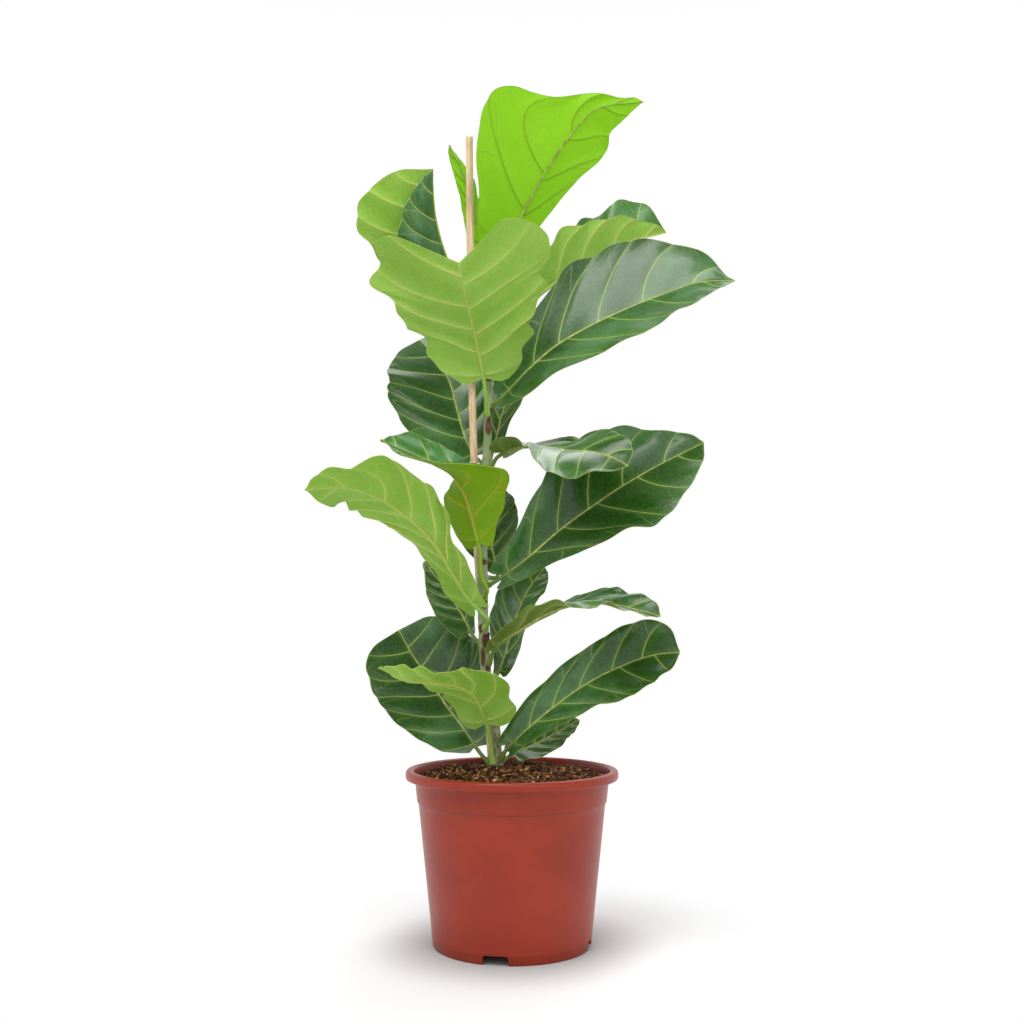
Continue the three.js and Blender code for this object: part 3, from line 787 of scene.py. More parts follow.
# ---------------------------------------------------------------------------------------------
# Bench: the operators that the pieces are modelled with
# ---------------------------------------------------------------------------------------------
class Bench:
    """Modelling steps on one mesh object."""

    @staticmethod
    def clear() -> None:
        """Deselects everything."""
        bpy.ops.object.select_all(action="DESELECT")

    @staticmethod
    def pick(*pieces: bpy.types.Object) -> None:
        """Selects only these pieces, with the first one active.

        Args:
            pieces: the pieces to work on.
        """
        Bench.clear()
        for piece in pieces:
            piece.select_set(True)
        bpy.context.view_layer.objects.active = pieces[0]

    @staticmethod
    def name(name: str) -> bpy.types.Object:
        """Names the newly added object and its mesh.

        Args:
            name: the name.

        Returns:
            The object.
        """
        piece = bpy.context.object
        piece.name = piece.data.name = name
        return piece

    @staticmethod
    def apply(piece: bpy.types.Object, kind: str, settings: dict) -> None:
        """Adds a modifier with these settings and applies it.

        Args:
            piece: the piece that gets it.
            kind: the modifier's type name.
            settings: its attributes.
        """
        Bench.pick(piece)
        modifier = piece.modifiers.new(kind.lower(), kind)
        for key, value in settings.items():
            setattr(modifier, key, value)
        bpy.ops.object.modifier_apply(modifier=modifier.name)

    @staticmethod
    def mend(piece: bpy.types.Object, gap: float = 1e-6, fill: bool = True) -> None:
        """Merges doubles, closes open ends and turns the faces outwards.

        Args:
            piece: the piece to mend.
            gap: largest distance in metres of points to merge.
            fill: True to close holes as well.
        """
        Bench.pick(piece)
        bpy.ops.object.mode_set(mode="EDIT")
        bpy.ops.mesh.select_all(action="SELECT")
        bpy.ops.mesh.remove_doubles(threshold=gap)
        if fill:
            bpy.ops.mesh.fill_holes(sides=0)
        bpy.ops.mesh.select_all(action="SELECT")
        bpy.ops.mesh.normals_make_consistent(inside=False)
        bpy.ops.object.mode_set(mode="OBJECT")

    @staticmethod
    def smooth(piece: bpy.types.Object, angle: float = 40.0) -> None:
        """Shades smooth, keeping edges sharper than the angle."""
        Bench.pick(piece)
        bpy.ops.object.shade_smooth_by_angle(angle=math.radians(angle))

    @staticmethod
    def turned(name: str, profile: Sequence[tuple[float, float]], sides: int) -> bpy.types.Object:
        """Extrudes a ring along a profile round the Z axis.

        Args:
            name: the new piece's name.
            profile: radius and height in mm of each ring; the ends are filled.
            sides: corners of a ring.

        Returns:
            The closed piece.
        """
        Bench.clear()
        radius, height = profile[0]
        bpy.ops.mesh.primitive_circle_add(vertices=sides, radius=radius * MM)
        piece = Bench.name(name)
        bpy.ops.object.mode_set(mode="EDIT")
        bpy.ops.mesh.select_all(action="SELECT")
        bpy.ops.transform.translate(value=(0, 0, height * MM))
        for (r_low, z_low), (r_high, z_high) in pairwise(profile):
            rise = {"value": (0, 0, (z_high - z_low) * MM)}
            bpy.ops.mesh.extrude_region_move(TRANSFORM_OT_translate=rise)
            wider = r_high / r_low
            bpy.ops.transform.resize(value=(wider, wider, 1))
        bpy.ops.object.mode_set(mode="OBJECT")
        Bench.mend(piece)
        return piece

    @staticmethod
    def sheet(
        name: str, rows: int, columns: int, place: Placing,
    ) -> tuple[bpy.types.Object, np.ndarray, np.ndarray]:
        """Adds a grid and moves its points.

        Args:
            name: the new piece's name.
            rows: squares along it.
            columns: squares across it.
            place: gives the points in mm from row and column numbers.

        Returns:
            The piece, and the row and column number of each of its points.
        """
        Bench.clear()
        bpy.ops.mesh.primitive_grid_add(x_subdivisions=rows, y_subdivisions=columns, size=1)
        piece = Bench.name(name)
        at = np.zeros(len(piece.data.vertices) * 3)
        piece.data.vertices.foreach_get("co", at)
        at = at.reshape(-1, 3)
        row = np.rint((at[:, 0] + 0.5) * rows).astype(int)
        column = np.rint((at[:, 1] + 0.5) * columns).astype(int)
        moved = place(row, column) * MM
        piece.data.vertices.foreach_set("co", moved.ravel())
        piece.data.update()
        return piece, row, column

    @staticmethod
    def tube(
        name: str, spine: Spine, along: np.ndarray, radius: Placing, sides: int,
        side_way: Point = (0, 1, 0),
    ) -> bpy.types.Object:
        """Rolls a grid round a spine.

        Args:
            name: the new piece's name.
            spine: its centre line.
            along: distances in mm of its rings along the spine.
            radius: radius in mm from distance and angle.
            sides: corners of a ring.
            side_way: direction that angle 0 faces.

        Returns:
            The closed tube.
        """
        def place(row: np.ndarray, column: np.ndarray) -> np.ndarray:
            """Points of the rings.

            Args:
                row: ring numbers.
                column: corner numbers.

            Returns:
                The points in mm.
            """
            distance, angle = along[row], 2 * math.pi * column / sides
            tangent = spine.tangent(distance)
            side = unit(np.cross(tangent, side_way))
            face = np.cross(side, tangent)
            size = radius(distance, angle)[:, None]
            ring = side * np.sin(angle)[:, None] + face * np.cos(angle)[:, None]
            return spine.point(distance) + ring * size

        piece, _, _ = Bench.sheet(name, len(along) - 1, sides, place)
        Bench.mend(piece)
        return piece

    @staticmethod
    def attribute(piece: bpy.types.Object, name: str, values: np.ndarray) -> None:
        """Stores a vector for each point of a piece."""
        store = piece.data.attributes.new(name, "FLOAT_VECTOR", "POINT")
        store.data.foreach_set("vector", np.asarray(values, float).ravel())

    @staticmethod
    def points(piece: bpy.types.Object) -> np.ndarray:
        """A piece's points, in metres.

        Args:
            piece: the piece.

        Returns:
            One row a point.
        """
        at = np.zeros(len(piece.data.vertices) * 3)
        piece.data.vertices.foreach_get("co", at)
        return at.reshape(-1, 3)

    @staticmethod
    def join(pieces: Sequence[bpy.types.Object]) -> bpy.types.Object:
        """Joins pieces into the first one.

        Args:
            pieces: the pieces to join.

        Returns:
            The first piece, which now holds them all.
        """
        Bench.pick(*pieces)
        bpy.ops.object.join()
        return pieces[0]

    @staticmethod
    def dress(
        piece: bpy.types.Object, slot: str, node: str | None, *finishes: bpy.types.Material,
    ) -> bpy.types.Object:
        """Gives a piece its materials, parents it to the body and hides the CAD node that it stands
        for.

        Args:
            piece: the finished piece.
            slot: the frame's material slot; not used.
            node: the CAD node that it stands for, or None for an extra piece.
            finishes: its materials, if it has none yet.

        Returns:
            The piece.
        """
        if finishes:
            piece.data.materials.clear()
            for finish in finishes:
                piece.data.materials.append(finish)
        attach(piece, BODY)
        if node:
            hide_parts(node)
        LOG.info("%s: %d faces", piece.name, len(piece.data.polygons))
        return piece


# ---------------------------------------------------------------------------------------------
# Stem, bud and scales
# ---------------------------------------------------------------------------------------------
@dataclass
class Stem:
    """The woody shoot, from inside the soil to the growing tip.

    Each scar has a height and a way in degrees round the stem, and then its length in mm and its
    width in radians. Bare nodes are the heights of nodes without a leaf.
    """

    line: tuple[Point, ...] = (
        (-15, 1, 125), (-17, 0, 185), (-21, 0, 247), (-28, 0, 280), (-32, 0, 337), (-34, 0, 406),
        (-33, 0, 475), (-29, 0, 556), (-28, 0, 615), (-27, 0, 674), (-24, 0, 734), (-18, 0, 776),
    )
    foot_radius: float = 6.8
    tip_radius: float = 3.6
    woody_below: float = 270.0
    woody_fade: float = 110.0
    scars: tuple[tuple[float, float, float, float], ...] = (
        (288, -80, 8, 0.55), (306, -60, 5, 0.5), (318, -110, 10, 0.45), (336, -80, 8, 0.5),
        (350, -120, 5, 0.4), (378, -60, 5, 0.8), (426, -75, 3, 0.9), (583, -70, 9, 0.8),
        (600, -40, 6, 0.6), (642, -90, 5, 1.2), (661, -60, 4, 0.8),
    )
    bare_nodes: tuple[float, ...] = (232, 262, 288, 431, 455, 497, 580, 642, 662)
    ring_shade: float = 0.42
    sides: int = 40
    step: float = 1.6
    spine: Spine = field(init=False)

    def __post_init__(self) -> None:
        """Makes the centre line."""
        self.spine = Spine(self.line)

    def radius(self, along: np.ndarray) -> np.ndarray:
        """Plain radius at distances along the stem."""
        part = np.clip(along / self.spine.length, 0, 1) ** 1.3
        return self.foot_radius + (self.tip_radius - self.foot_radius) * part

    def at(self, height: float) -> tuple[np.ndarray, float]:
        """Centre and radius at a height."""
        along = np.interp(height, self.spine.points[:, 2], self.spine.distance)
        return self.spine.point(np.array(along)), float(self.radius(np.array(along)))

    def build(self, nodes: Sequence[tuple[float, float]]) -> None:
        """Models the stem.

        Args:
            nodes: height in mm and way in radians of each leaf's base on the stem.
        """
        heights = [height for height, _ in nodes]
        ways = [way for _, way in nodes]
        places = np.interp(heights, self.spine.points[:, 2], self.spine.distance)
        rings = np.interp(self.bare_nodes, self.spine.points[:, 2], self.spine.distance)

        def radius(distance: np.ndarray, angle: np.ndarray) -> np.ndarray:
            """Radius with a ring and a cushion at each node, ridges and bark.

            Args:
                distance: distances in mm along the piece.
                angle: angles in radians round it.

            Returns:
                The radii in mm.
            """
            size = self.radius(distance)
            for place, way in zip(places, ways):
                gap = distance - place
                turn = np.cos(angle - way)
                size = size + 0.5 * np.exp(-((gap / 2.2) ** 2))
                size = size + 1.9 * np.exp(-(((gap + 1) / 5.5) ** 2)) * np.clip(turn, 0, 1) ** 3
            for place in rings:
                size = size + 0.45 * np.exp(-(((distance - place) / 1.5) ** 2))
            rough = [noise.noise(Vector((math.cos(a) * 2.2, math.sin(a) * 2.2, d * 0.09)))
                     for d, a in zip(distance, angle)]
            return size * (1 + 0.05 * np.array(rough))

        along = np.arange(0, self.spine.length, self.step)
        stem = Bench.tube("stem_shoot", self.spine, along, radius, self.sides, (1, 0, 0))
        self._age(stem, [*self.bare_nodes, *heights])
        Bench.smooth(stem, 70)
        Bench.dress(stem, "stem_bark", "stem", StemFinish().material())

    def _age(self, stem: bpy.types.Object, nodes: Sequence[float]) -> None:
        """Stores how woody and how scarred each place of the stem is.

        Args:
            stem: the stem's mesh.
            nodes: heights in mm of all its nodes.
        """
        at = Bench.points(stem) / MM
        height = at[:, 2]
        woody = np.clip((self.woody_below - height) / self.woody_fade + 0.25, 0, 1)
        scarred = np.zeros(len(at))
        for node in nodes:
            ring = np.exp(-(((height - node) / 1.3) ** 2))
            scarred = np.maximum(scarred, self.ring_shade * ring)
        centre = self.spine.point(np.interp(height, self.spine.points[:, 2], self.spine.distance))
        turn = np.arctan2(at[:, 1] - centre[:, 1], at[:, 0] - centre[:, 0])
        for middle, way, length, width in self.scars:
            off = np.abs((turn - math.radians(way) + math.pi) % (2 * math.pi) - math.pi)
            patch = np.exp(-(((height - middle) / length) ** 2) - (off / width) ** 2)
            scarred = np.maximum(scarred, np.clip(1.5 * patch, 0, 1))
        Bench.attribute(stem, "age", np.stack([woody, scarred, woody], -1))

    def build_bud(self) -> None:
        """Models the pointed bud in its sheath at the tip."""
        foot = np.array(self.line[-1]) + (0, 0, -2)
        lean = unit(np.array([-0.25, 0.12, 1.0]))
        spine = Spine([tuple(foot + lean * d) for d in (0, 11, 22, 33.5)])
        profile = ([0, 0.1, 0.2, 0.4, 0.65, 0.85, 0.96, 1], [2.6, 3.4, 3.9, 3.7, 2.7, 1.6, 0.8, 0.15])

        def radius(distance: np.ndarray, angle: np.ndarray) -> np.ndarray:
            """Bud outline with the sheath's overlapping edge.

            Args:
                distance: distances in mm along the bud.
                angle: angles in radians round it.

            Returns:
                The radii in mm.
            """
            part = distance / spine.length
            wrap = 0.18 * np.clip(np.sin(angle + 5 * part), 0, 1) ** 4
            return through_knots(*profile, part) * (1 + wrap * (1 - part))

        bud = Bench.tube("bud_sheath", spine, np.linspace(0, spine.length, 60), radius, 32)
        rise = (Bench.points(bud)[:, 2] / MM - foot[2]) / 33
        Bench.attribute(bud, "age", np.stack([np.clip(rise * 1.6 - 1, 0, 1)] * 3, -1))
        Bench.smooth(bud, 60)
        finish = PaperyFinish("bud_sheath", srgb(142, 176, 78), srgb(132, 92, 54))
        Bench.dress(bud, "bud_sheath", "bud", finish.material())


@dataclass
class Stipule:
    """A dry brown scale, cupped against the stem."""

    number: int
    height: float
    angle: float
    length: float

    def build(self, stem: Stem, finish: bpy.types.Material) -> None:
        """Models the scale against the stem.

        Args:
            stem: the stem that it stands on.
            finish: its material.
        """
        centre, radius = stem.at(self.height)
        rows, columns = 24, 12
        way = math.radians(self.angle)
        shift = random.Random(self.number).uniform(-0.4, 0.4)

        def place(row: np.ndarray, column: np.ndarray) -> np.ndarray:
            """Points of the cupped, pointed scale.

            Args:
                row: row numbers.
                column: column numbers.

            Returns:
                The points in mm.
            """
            up, across = row / rows, 2 * column / columns - 1
            half = 0.62 * np.sqrt(np.clip(1 - up, 0.002, 1)) * (1 - 0.25 * up)
            turn = way + across * half
            off = radius + 0.9 + 2.6 * up**2 + 0.5 * across**2 + 0.3 * np.sin(9 * up + shift)
            x = centre[0] + off * np.cos(turn)
            y = centre[1] + off * np.sin(turn)
            z = self.height + self.length * (up - 0.5) + shift * across
            return np.stack([x, y, z], -1)

        scale, row, _ = Bench.sheet(f"scale_{self.number}", rows, columns, place)
        Bench.attribute(scale, "age", np.stack([row / rows] * 3, -1))
        Bench.mend(scale, fill=False)
        Bench.apply(scale, "SOLIDIFY", {"thickness": 0.35 * MM, "offset": 0})
        Bench.smooth(scale, 60)
        Bench.dress(scale, "dry_scale", f"stipule_{self.number}", finish)


# ---------------------------------------------------------------------------------------------
# Leaves
# ---------------------------------------------------------------------------------------------
# Where the half widths of a blade are given, 0 at its base and 1 at its tip; how far along the
# midrib its margin lies there; and the power of a place on the margin that gives the place where
# its side vein starts on the midrib.
STATION = (0, 0.05, 0.13, 0.27, 0.41, 0.55, 0.7, 0.84, 0.94, 1)
REACH = (0, -0.045, 0.06, 0.23, 0.4, 0.56, 0.72, 0.87, 0.965, 1)
SPRING_POWER = 1.25
# Rate along the blade, share, and shift between the halves of each wave.
MARGIN_WAVES = ((13, 0.62, 1.3), (24, 0.4, 2.1), (43, 0.22, -1.0))
OUTLINE_WAVES = ((25, 1.0, 1.0), (43, 0.7, 0.0))
SLOT = {Tone.DEEP: "leaf_dark", Tone.LIGHT: "leaf_light", Tone.FRESH: "leaf_light",
        Tone.YOUNG: "leaf_young"}


@dataclass(frozen=True)
class LeafMaterials:
    """Materials of one leaf tone, in the order of a leaf's slots."""

    upper: bpy.types.Material
    under: bpy.types.Material
    rib: bpy.types.Material

    @classmethod
    def of(cls, tone: Tone) -> "LeafMaterials":
        """Builds the materials of a tone."""
        faces = (LeafFace(tone, under).material() for under in (False, True))
        return cls(*faces, RibFinish(tone).material())

    def put_on(self, piece: bpy.types.Object) -> None:
        """Fills a piece's slots.

        Args:
            piece: the blade or rib.
        """
        piece.data.materials.clear()
        for material in (self.upper, self.under, self.rib):
            piece.data.materials.append(material)


@dataclass
class Leaf:
    """One leaf: its midrib from the stem to its tip, its outline and how its halves bend.

    The outline and the bends are those of the CAD leaf of the same name; the veins, the puckered
    blade and the wavy margin are added here. Left and right hold the blade's half widths at
    STATION, facing the way that the upper side looks along the blade, fold the lift of each half
    in degrees at the midrib, and curl how much it bends on towards the margin. Node is the height
    where it leaves the stem, petiole the length of its bare stalk, and notch how far the margin
    runs on beside the tip. Sweep leans the side veins forwards. Wave, pucker and rim are heights,
    ripple is the unevenness of the outline as a share of its width, and lamina and vein_thickness
    are the blade's thickness between the veins and on them.
    """

    name: str
    node: float
    line: tuple[Point, ...]
    petiole: float
    left: tuple[float, ...]
    right: tuple[float, ...]
    facing: tuple[Point, ...]
    tone: Tone = Tone.DEEP
    fold: tuple[float, float] = (10, 10)
    curl: tuple[float, float] = (0, 0)
    notch: float = 0
    veins: int = 6
    sweep: float = 0.2
    wave: float = 3.0
    pucker: float = 1.6
    ripple: float = 0.012
    rim: tuple[float, float] = (0, 0)
    tip_half_width: float = 0.7
    rows: int = 74
    lamina: float = 0.5
    vein_thickness: float = 1.5
    spine: Spine = field(init=False)
    way: float = field(init=False)
    blade: float = field(init=False)
    phases: list[float] = field(init=False)
    vein_places: tuple[np.ndarray, np.ndarray] = field(init=False)

    def prepare(self, stem: Stem) -> None:
        """Finds where the petiole leaves the stem, and makes the midrib's line.

        Args:
            stem: the stem that the leaf grows from.
        """
        centre, radius = stem.at(self.node)
        outward = np.array(self.line[0], float) - centre
        outward[2] = 0
        outward = unit(outward)
        self.way = math.atan2(outward[1], outward[0])
        start = centre + outward * (radius + 2.4)
        self.spine = Spine([tuple(start), *self.line])
        self.blade = self.spine.length - self.petiole
        chance = random.Random(self.name)
        self.phases = [chance.uniform(0, 2 * math.pi) for _ in range(6)]
        places = np.linspace(0.06, 0.86, self.veins)
        jitter = [[chance.uniform(-0.014, 0.014) for _ in places] for _ in range(2)]
        stagger = 0.22 * (places[1] - places[0]) * (np.arange(self.veins) > 0)
        self.vein_places = (places + jitter[0], places + jitter[1] + stagger)

    def swept(self, s: np.ndarray, a: np.ndarray) -> np.ndarray:
        """Place along the outline that a vein line leads to, as the side veins lean forwards."""
        return s + self.sweep * 1.5 * (1 - (1 - s) ** 5) * (1 - s) * a**1.4

    def vein_cell(self, t: np.ndarray, half: int) -> tuple[np.ndarray, np.ndarray]:
        """How near a place is to a side vein (1 on it, 0 midway), and the step between veins.

        Args:
            t: places along the vein rows.
            half: 0 for the left half, 1 for the right.

        Returns:
            The nearness and the step, for each place.
        """
        knots = np.concatenate([[0], self.vein_places[half], [1]])
        count = np.interp(t, knots, np.arange(len(knots)))
        steps = np.diff(knots)[np.clip(np.floor(count).astype(int), 0, len(knots) - 2)]
        return np.abs(2 * (count % 1) - 1), steps

    def flat(self, s: np.ndarray, v: np.ndarray) -> tuple[np.ndarray, np.ndarray]:
        """Place on the flat blade, along and out from the midrib, in mm.

        Args:
            s: places along the vein rows, 0 to 1.
            v: places across, -1 at the left margin and 1 at the right.

        Returns:
            Distances along the midrib and out from it.
        """
        a = np.abs(v)
        t = self.swept(s, a)
        reach = [r + self.notch * max(0.0, (k - 5) / 3) * (k < 9) for k, r in enumerate(REACH)]
        end = through_knots(STATION, reach, t)
        sides = [through_knots(STATION, (0, *widths, 0), t) for widths in (self.left, self.right)]
        half = np.maximum(np.where(v < 0, sides[0], sides[1]), self.tip_half_width)
        cells = [self.vein_cell(s, k)[0] for k in (0, 1)]
        cell = np.where(v < 0, cells[0], cells[1])
        half = half * (1 + 0.03 * (1 - cell**2) * np.clip(t * 6, 0, 1) * np.clip((1 - t) * 6, 0, 1))
        p = self.phases
        waves = sum(share * np.sin(rate * t + phase + shift * np.sign(v))
                    for (rate, share, shift), phase in zip(OUTLINE_WAVES, p[4:]))
        half = half * (1 + self.ripple * waves)
        spring = t**SPRING_POWER
        bend = spring + 0.35 * (end - spring)
        along = (1 - a) ** 2 * spring + 2 * a * (1 - a) * bend + a * a * end
        return along * self.blade, a * half

    def frame_at(self, along: np.ndarray) -> tuple[np.ndarray, np.ndarray, np.ndarray]:
        """Point, sideways and upwards at distances along the blade.

        Args:
            along: distances in mm from the blade's base.

        Returns:
            The three, for each distance.
        """
        distance = along + self.petiole
        part = np.clip(along / self.blade, 0, 1) * (len(self.facing) - 1)
        i = np.clip(np.floor(part).astype(int), 0, len(self.facing) - 2)
        facing = np.array(self.facing, float)
        share = (part - i)[..., None]
        up = facing[i] * (1 - share) + facing[i + 1] * share
        tangent = self.spine.tangent(distance)
        side = unit(np.cross(tangent, up))
        return self.spine.point(distance), side, np.cross(side, tangent)

    def surface(self, t: np.ndarray, v: np.ndarray) -> np.ndarray:
        """Points of the blade's upper face, in mm.

        Args:
            t: places along the vein rows, 0 to 1.
            v: places across, -1 to 1.

        Returns:
            The points.
        """
        along, across = self.flat(t, v)
        point, side, normal = self.frame_at(along)
        a = np.abs(v)
        fold = np.radians(np.where(v < 0, self.fold[0], self.fold[1]))
        curl = np.radians(np.where(v < 0, self.curl[0], self.curl[1]))
        out, up = np.zeros_like(a), np.zeros_like(a)
        steps = 12
        for k in range(steps):
            angle = fold + curl * a * (k + 0.5) / steps
            out += np.cos(angle) * across / steps
            up += np.sin(angle) * across / steps
        slant = fold + curl * a
        rise = self.relief(t, v)
        out, up = out - np.sin(slant) * rise, up + np.cos(slant) * rise
        return point + side * (out * np.sign(v))[..., None] + normal * up[..., None]

    def relief(self, t: np.ndarray, v: np.ndarray) -> np.ndarray:
        """Height of the puckers between the veins and of the margin's waves, in mm.

        Args:
            t: places along the vein rows, 0 to 1.
            v: places across, -1 to 1.

        Returns:
            The heights.
        """
        a = np.abs(v)
        cells = [self.vein_cell(t, k)[0] for k in (0, 1)]
        cell = np.where(v < 0, cells[0], cells[1])
        inside = np.clip(np.sin(np.pi * np.clip(t, 0, 1)), 0, 1) ** 0.5
        pucker = self.pucker * (1 - cell**2) * 4 * a * (1 - 0.72 * a) * inside
        side = np.sign(v)
        p = self.phases
        waves = sum(share * np.sin(rate * t + phase + shift * side)
                    for (rate, share, shift), phase in zip(MARGIN_WAVES, p))
        broad = 0.5 * np.sin(7 * t + p[3]) * a
        rim = np.where(v < 0, *self.rim) * np.clip((a - 0.7) / 0.3, 0, 1) ** 2
        return pucker + inside * (self.wave * (a**2.2 * waves + broad * a) + rim)

    def build(self, materials: LeafMaterials) -> None:
        """Models the blade and its rib, and joins them.

        Args:
            materials: those of the leaf's tone.
        """
        t, v = self._stations()

        def place(row: np.ndarray, column: np.ndarray) -> np.ndarray:
            """Points of the upper face."""
            return self.surface(t[row], v[column])

        blade, row, column = Bench.sheet(f"{self.name}_blade", len(t) - 1, len(v) - 1, place)
        materials.put_on(blade)
        self._face_up(blade)
        self._measure(blade, t[row], v[column])
        Bench.apply(blade, "SOLIDIFY", {
            "thickness": self.vein_thickness * MM, "offset": -1, "use_even_offset": False,
            "vertex_group": "rib", "thickness_vertex_group": 0.0,
            "material_offset": 1, "material_offset_rim": 1,
        })
        blade.vertex_groups.clear()
        rib = self._rib()
        materials.put_on(rib)
        rib.data.polygons.foreach_set("material_index", [2] * len(rib.data.polygons))
        piece = Bench.join([blade, rib])
        Bench.smooth(piece, 80)
        Bench.dress(piece, SLOT[self.tone], self.name)

    def _stations(self) -> tuple[np.ndarray, np.ndarray]:
        """Rows that follow the side veins, and columns closer together near the midrib.

        Returns:
            Places along the vein rows, and places across.
        """
        rows = list(np.linspace(0, 1, self.rows))
        ridge = 1.1 / self.blade
        for places in self.vein_places:
            for place in places:
                rows = [r for r in rows if abs(r - place) > 1.6 * ridge or r in (0, 1)]
                rows += [place - ridge, place, place + ridge]
        t = np.unique(np.clip(rows, 0, 1))
        half = np.concatenate([[0.012, 0.03], np.linspace(0.06, 0.94, 19), [0.975, 1]])
        return t, np.concatenate([-half[::-1], [0], half])

    def _face_up(self, blade: bpy.types.Object) -> None:
        """Turns the blade's faces to the upper side.

        Args:
            blade: the blade while it is a single sheet.
        """
        middle = blade.data.polygons[len(blade.data.polygons) // 2 + 10]
        at = np.array(middle.center) / MM
        gap = np.linalg.norm(self.spine.points - at, axis=1)
        along = np.array([self.spine.distance[int(np.argmin(gap))] - self.petiole])
        _, _, normal = self.frame_at(along)
        if float(np.dot(normal[0], np.array(middle.normal))) < 0:
            Bench.pick(blade)
            bpy.ops.object.mode_set(mode="EDIT")
            bpy.ops.mesh.select_all(action="SELECT")
            bpy.ops.mesh.flip_normals()
            bpy.ops.object.mode_set(mode="OBJECT")

    def _measure(self, blade: bpy.types.Object, t: np.ndarray, v: np.ndarray) -> None:
        """Stores what the finishes read, and the thickness of the ribs.

        Args:
            blade: the blade while it is a single sheet.
            t: its points' places along the vein rows.
            v: their places across.
        """
        along, across = self.flat(t, v)
        a = np.abs(v)
        small = 1e-3
        half = np.where(v < 0, -1.0, 1.0)
        ahead = self.flat(np.clip(t + small, 0, 1), v)
        outer = self.flat(t, half * np.clip(a + small, 0, 1))
        inner = self.flat(t, half * np.clip(a - small, 0, 1))
        step = np.stack([ahead[0] - along, ahead[1] - across], -1) / small
        run = unit(np.stack([outer[0] - inner[0], outer[1] - inner[1]], -1))
        width = np.abs(step[:, 0] * run[:, 1] - step[:, 1] * run[:, 0])
        values = [self.vein_cell(t, k) for k in (0, 1)]
        cell = np.where(v < 0, values[0][0], values[1][0])
        spacing = width * np.where(v < 0, values[0][1], values[1][1])
        margin = self.flat(t, half)
        edge = np.hypot(margin[0] - along, margin[1] - across)
        Bench.attribute(blade, "cell", np.stack([cell, a, spacing / 100], -1))
        Bench.attribute(blade, "edge", np.stack([across / 100, edge / 100, t], -1))
        side_gap = (1 - cell) * 0.5 * spacing
        side_rib = np.exp(-((side_gap / (1.3 - 0.7 * a)) ** 2)) * (0.75 - 0.45 * a)
        group = blade.vertex_groups.new(name="rib")
        thin = self.lamina / self.vein_thickness
        weights = thin + (1 - thin) * side_rib * np.clip(t * 20, 0, 1) * np.clip((1 - t) * 14, 0, 1)
        for i, weight in enumerate(weights):
            group.add([i], float(weight), "REPLACE")

    def _rib(self) -> bpy.types.Object:
        """Models petiole and midrib as one tapering tube under the blade.

        Returns:
            The closed tube.
        """
        root, tip = -4.6, self.spine.length - 0.035 * self.blade
        along = np.concatenate([[root, root + 0.8], np.linspace(root + 2, tip, 90)])

        def size(distance: np.ndarray) -> np.ndarray:
            """Radius along the rib, thick at the stem and at the blade's base.

            Args:
                distance: distances in mm from the stem.

            Returns:
                The radii in mm.
            """
            part = np.clip((distance - self.petiole) / self.blade, 0, 1)
            foot = 1.4 * np.exp(-(((distance + 3) / 6.5) ** 2))
            return 0.35 + 1.95 * (1 - part) ** 0.9 + foot

        sides = 12

        def place(row: np.ndarray, column: np.ndarray) -> np.ndarray:
            """Points of the rib's rings, most of which lie below the blade's upper face.

            Args:
                row: ring numbers.
                column: corner numbers.

            Returns:
                The points in mm.
            """
            distance, angle = along[row], 2 * math.pi * column / sides
            point, side, normal = self.frame_at(distance - self.petiole)
            radius = size(distance)
            sink = 0.62 * np.clip((distance - self.petiole + 8) / 16, 0, 1) * radius
            ring = side * (np.sin(angle) * radius)[:, None]
            ring = ring + normal * (np.cos(angle) * radius - sink)[:, None]
            return point + ring

        rib, row, _ = Bench.sheet(f"{self.name}_rib", len(along) - 1, sides, place)
        stalk = np.clip(1 - (along[row] - self.petiole) / (0.2 * self.blade), 0, 1)
        Bench.attribute(rib, "age", np.stack([stalk] * 3, -1))
        Bench.mend(rib)
        return rib


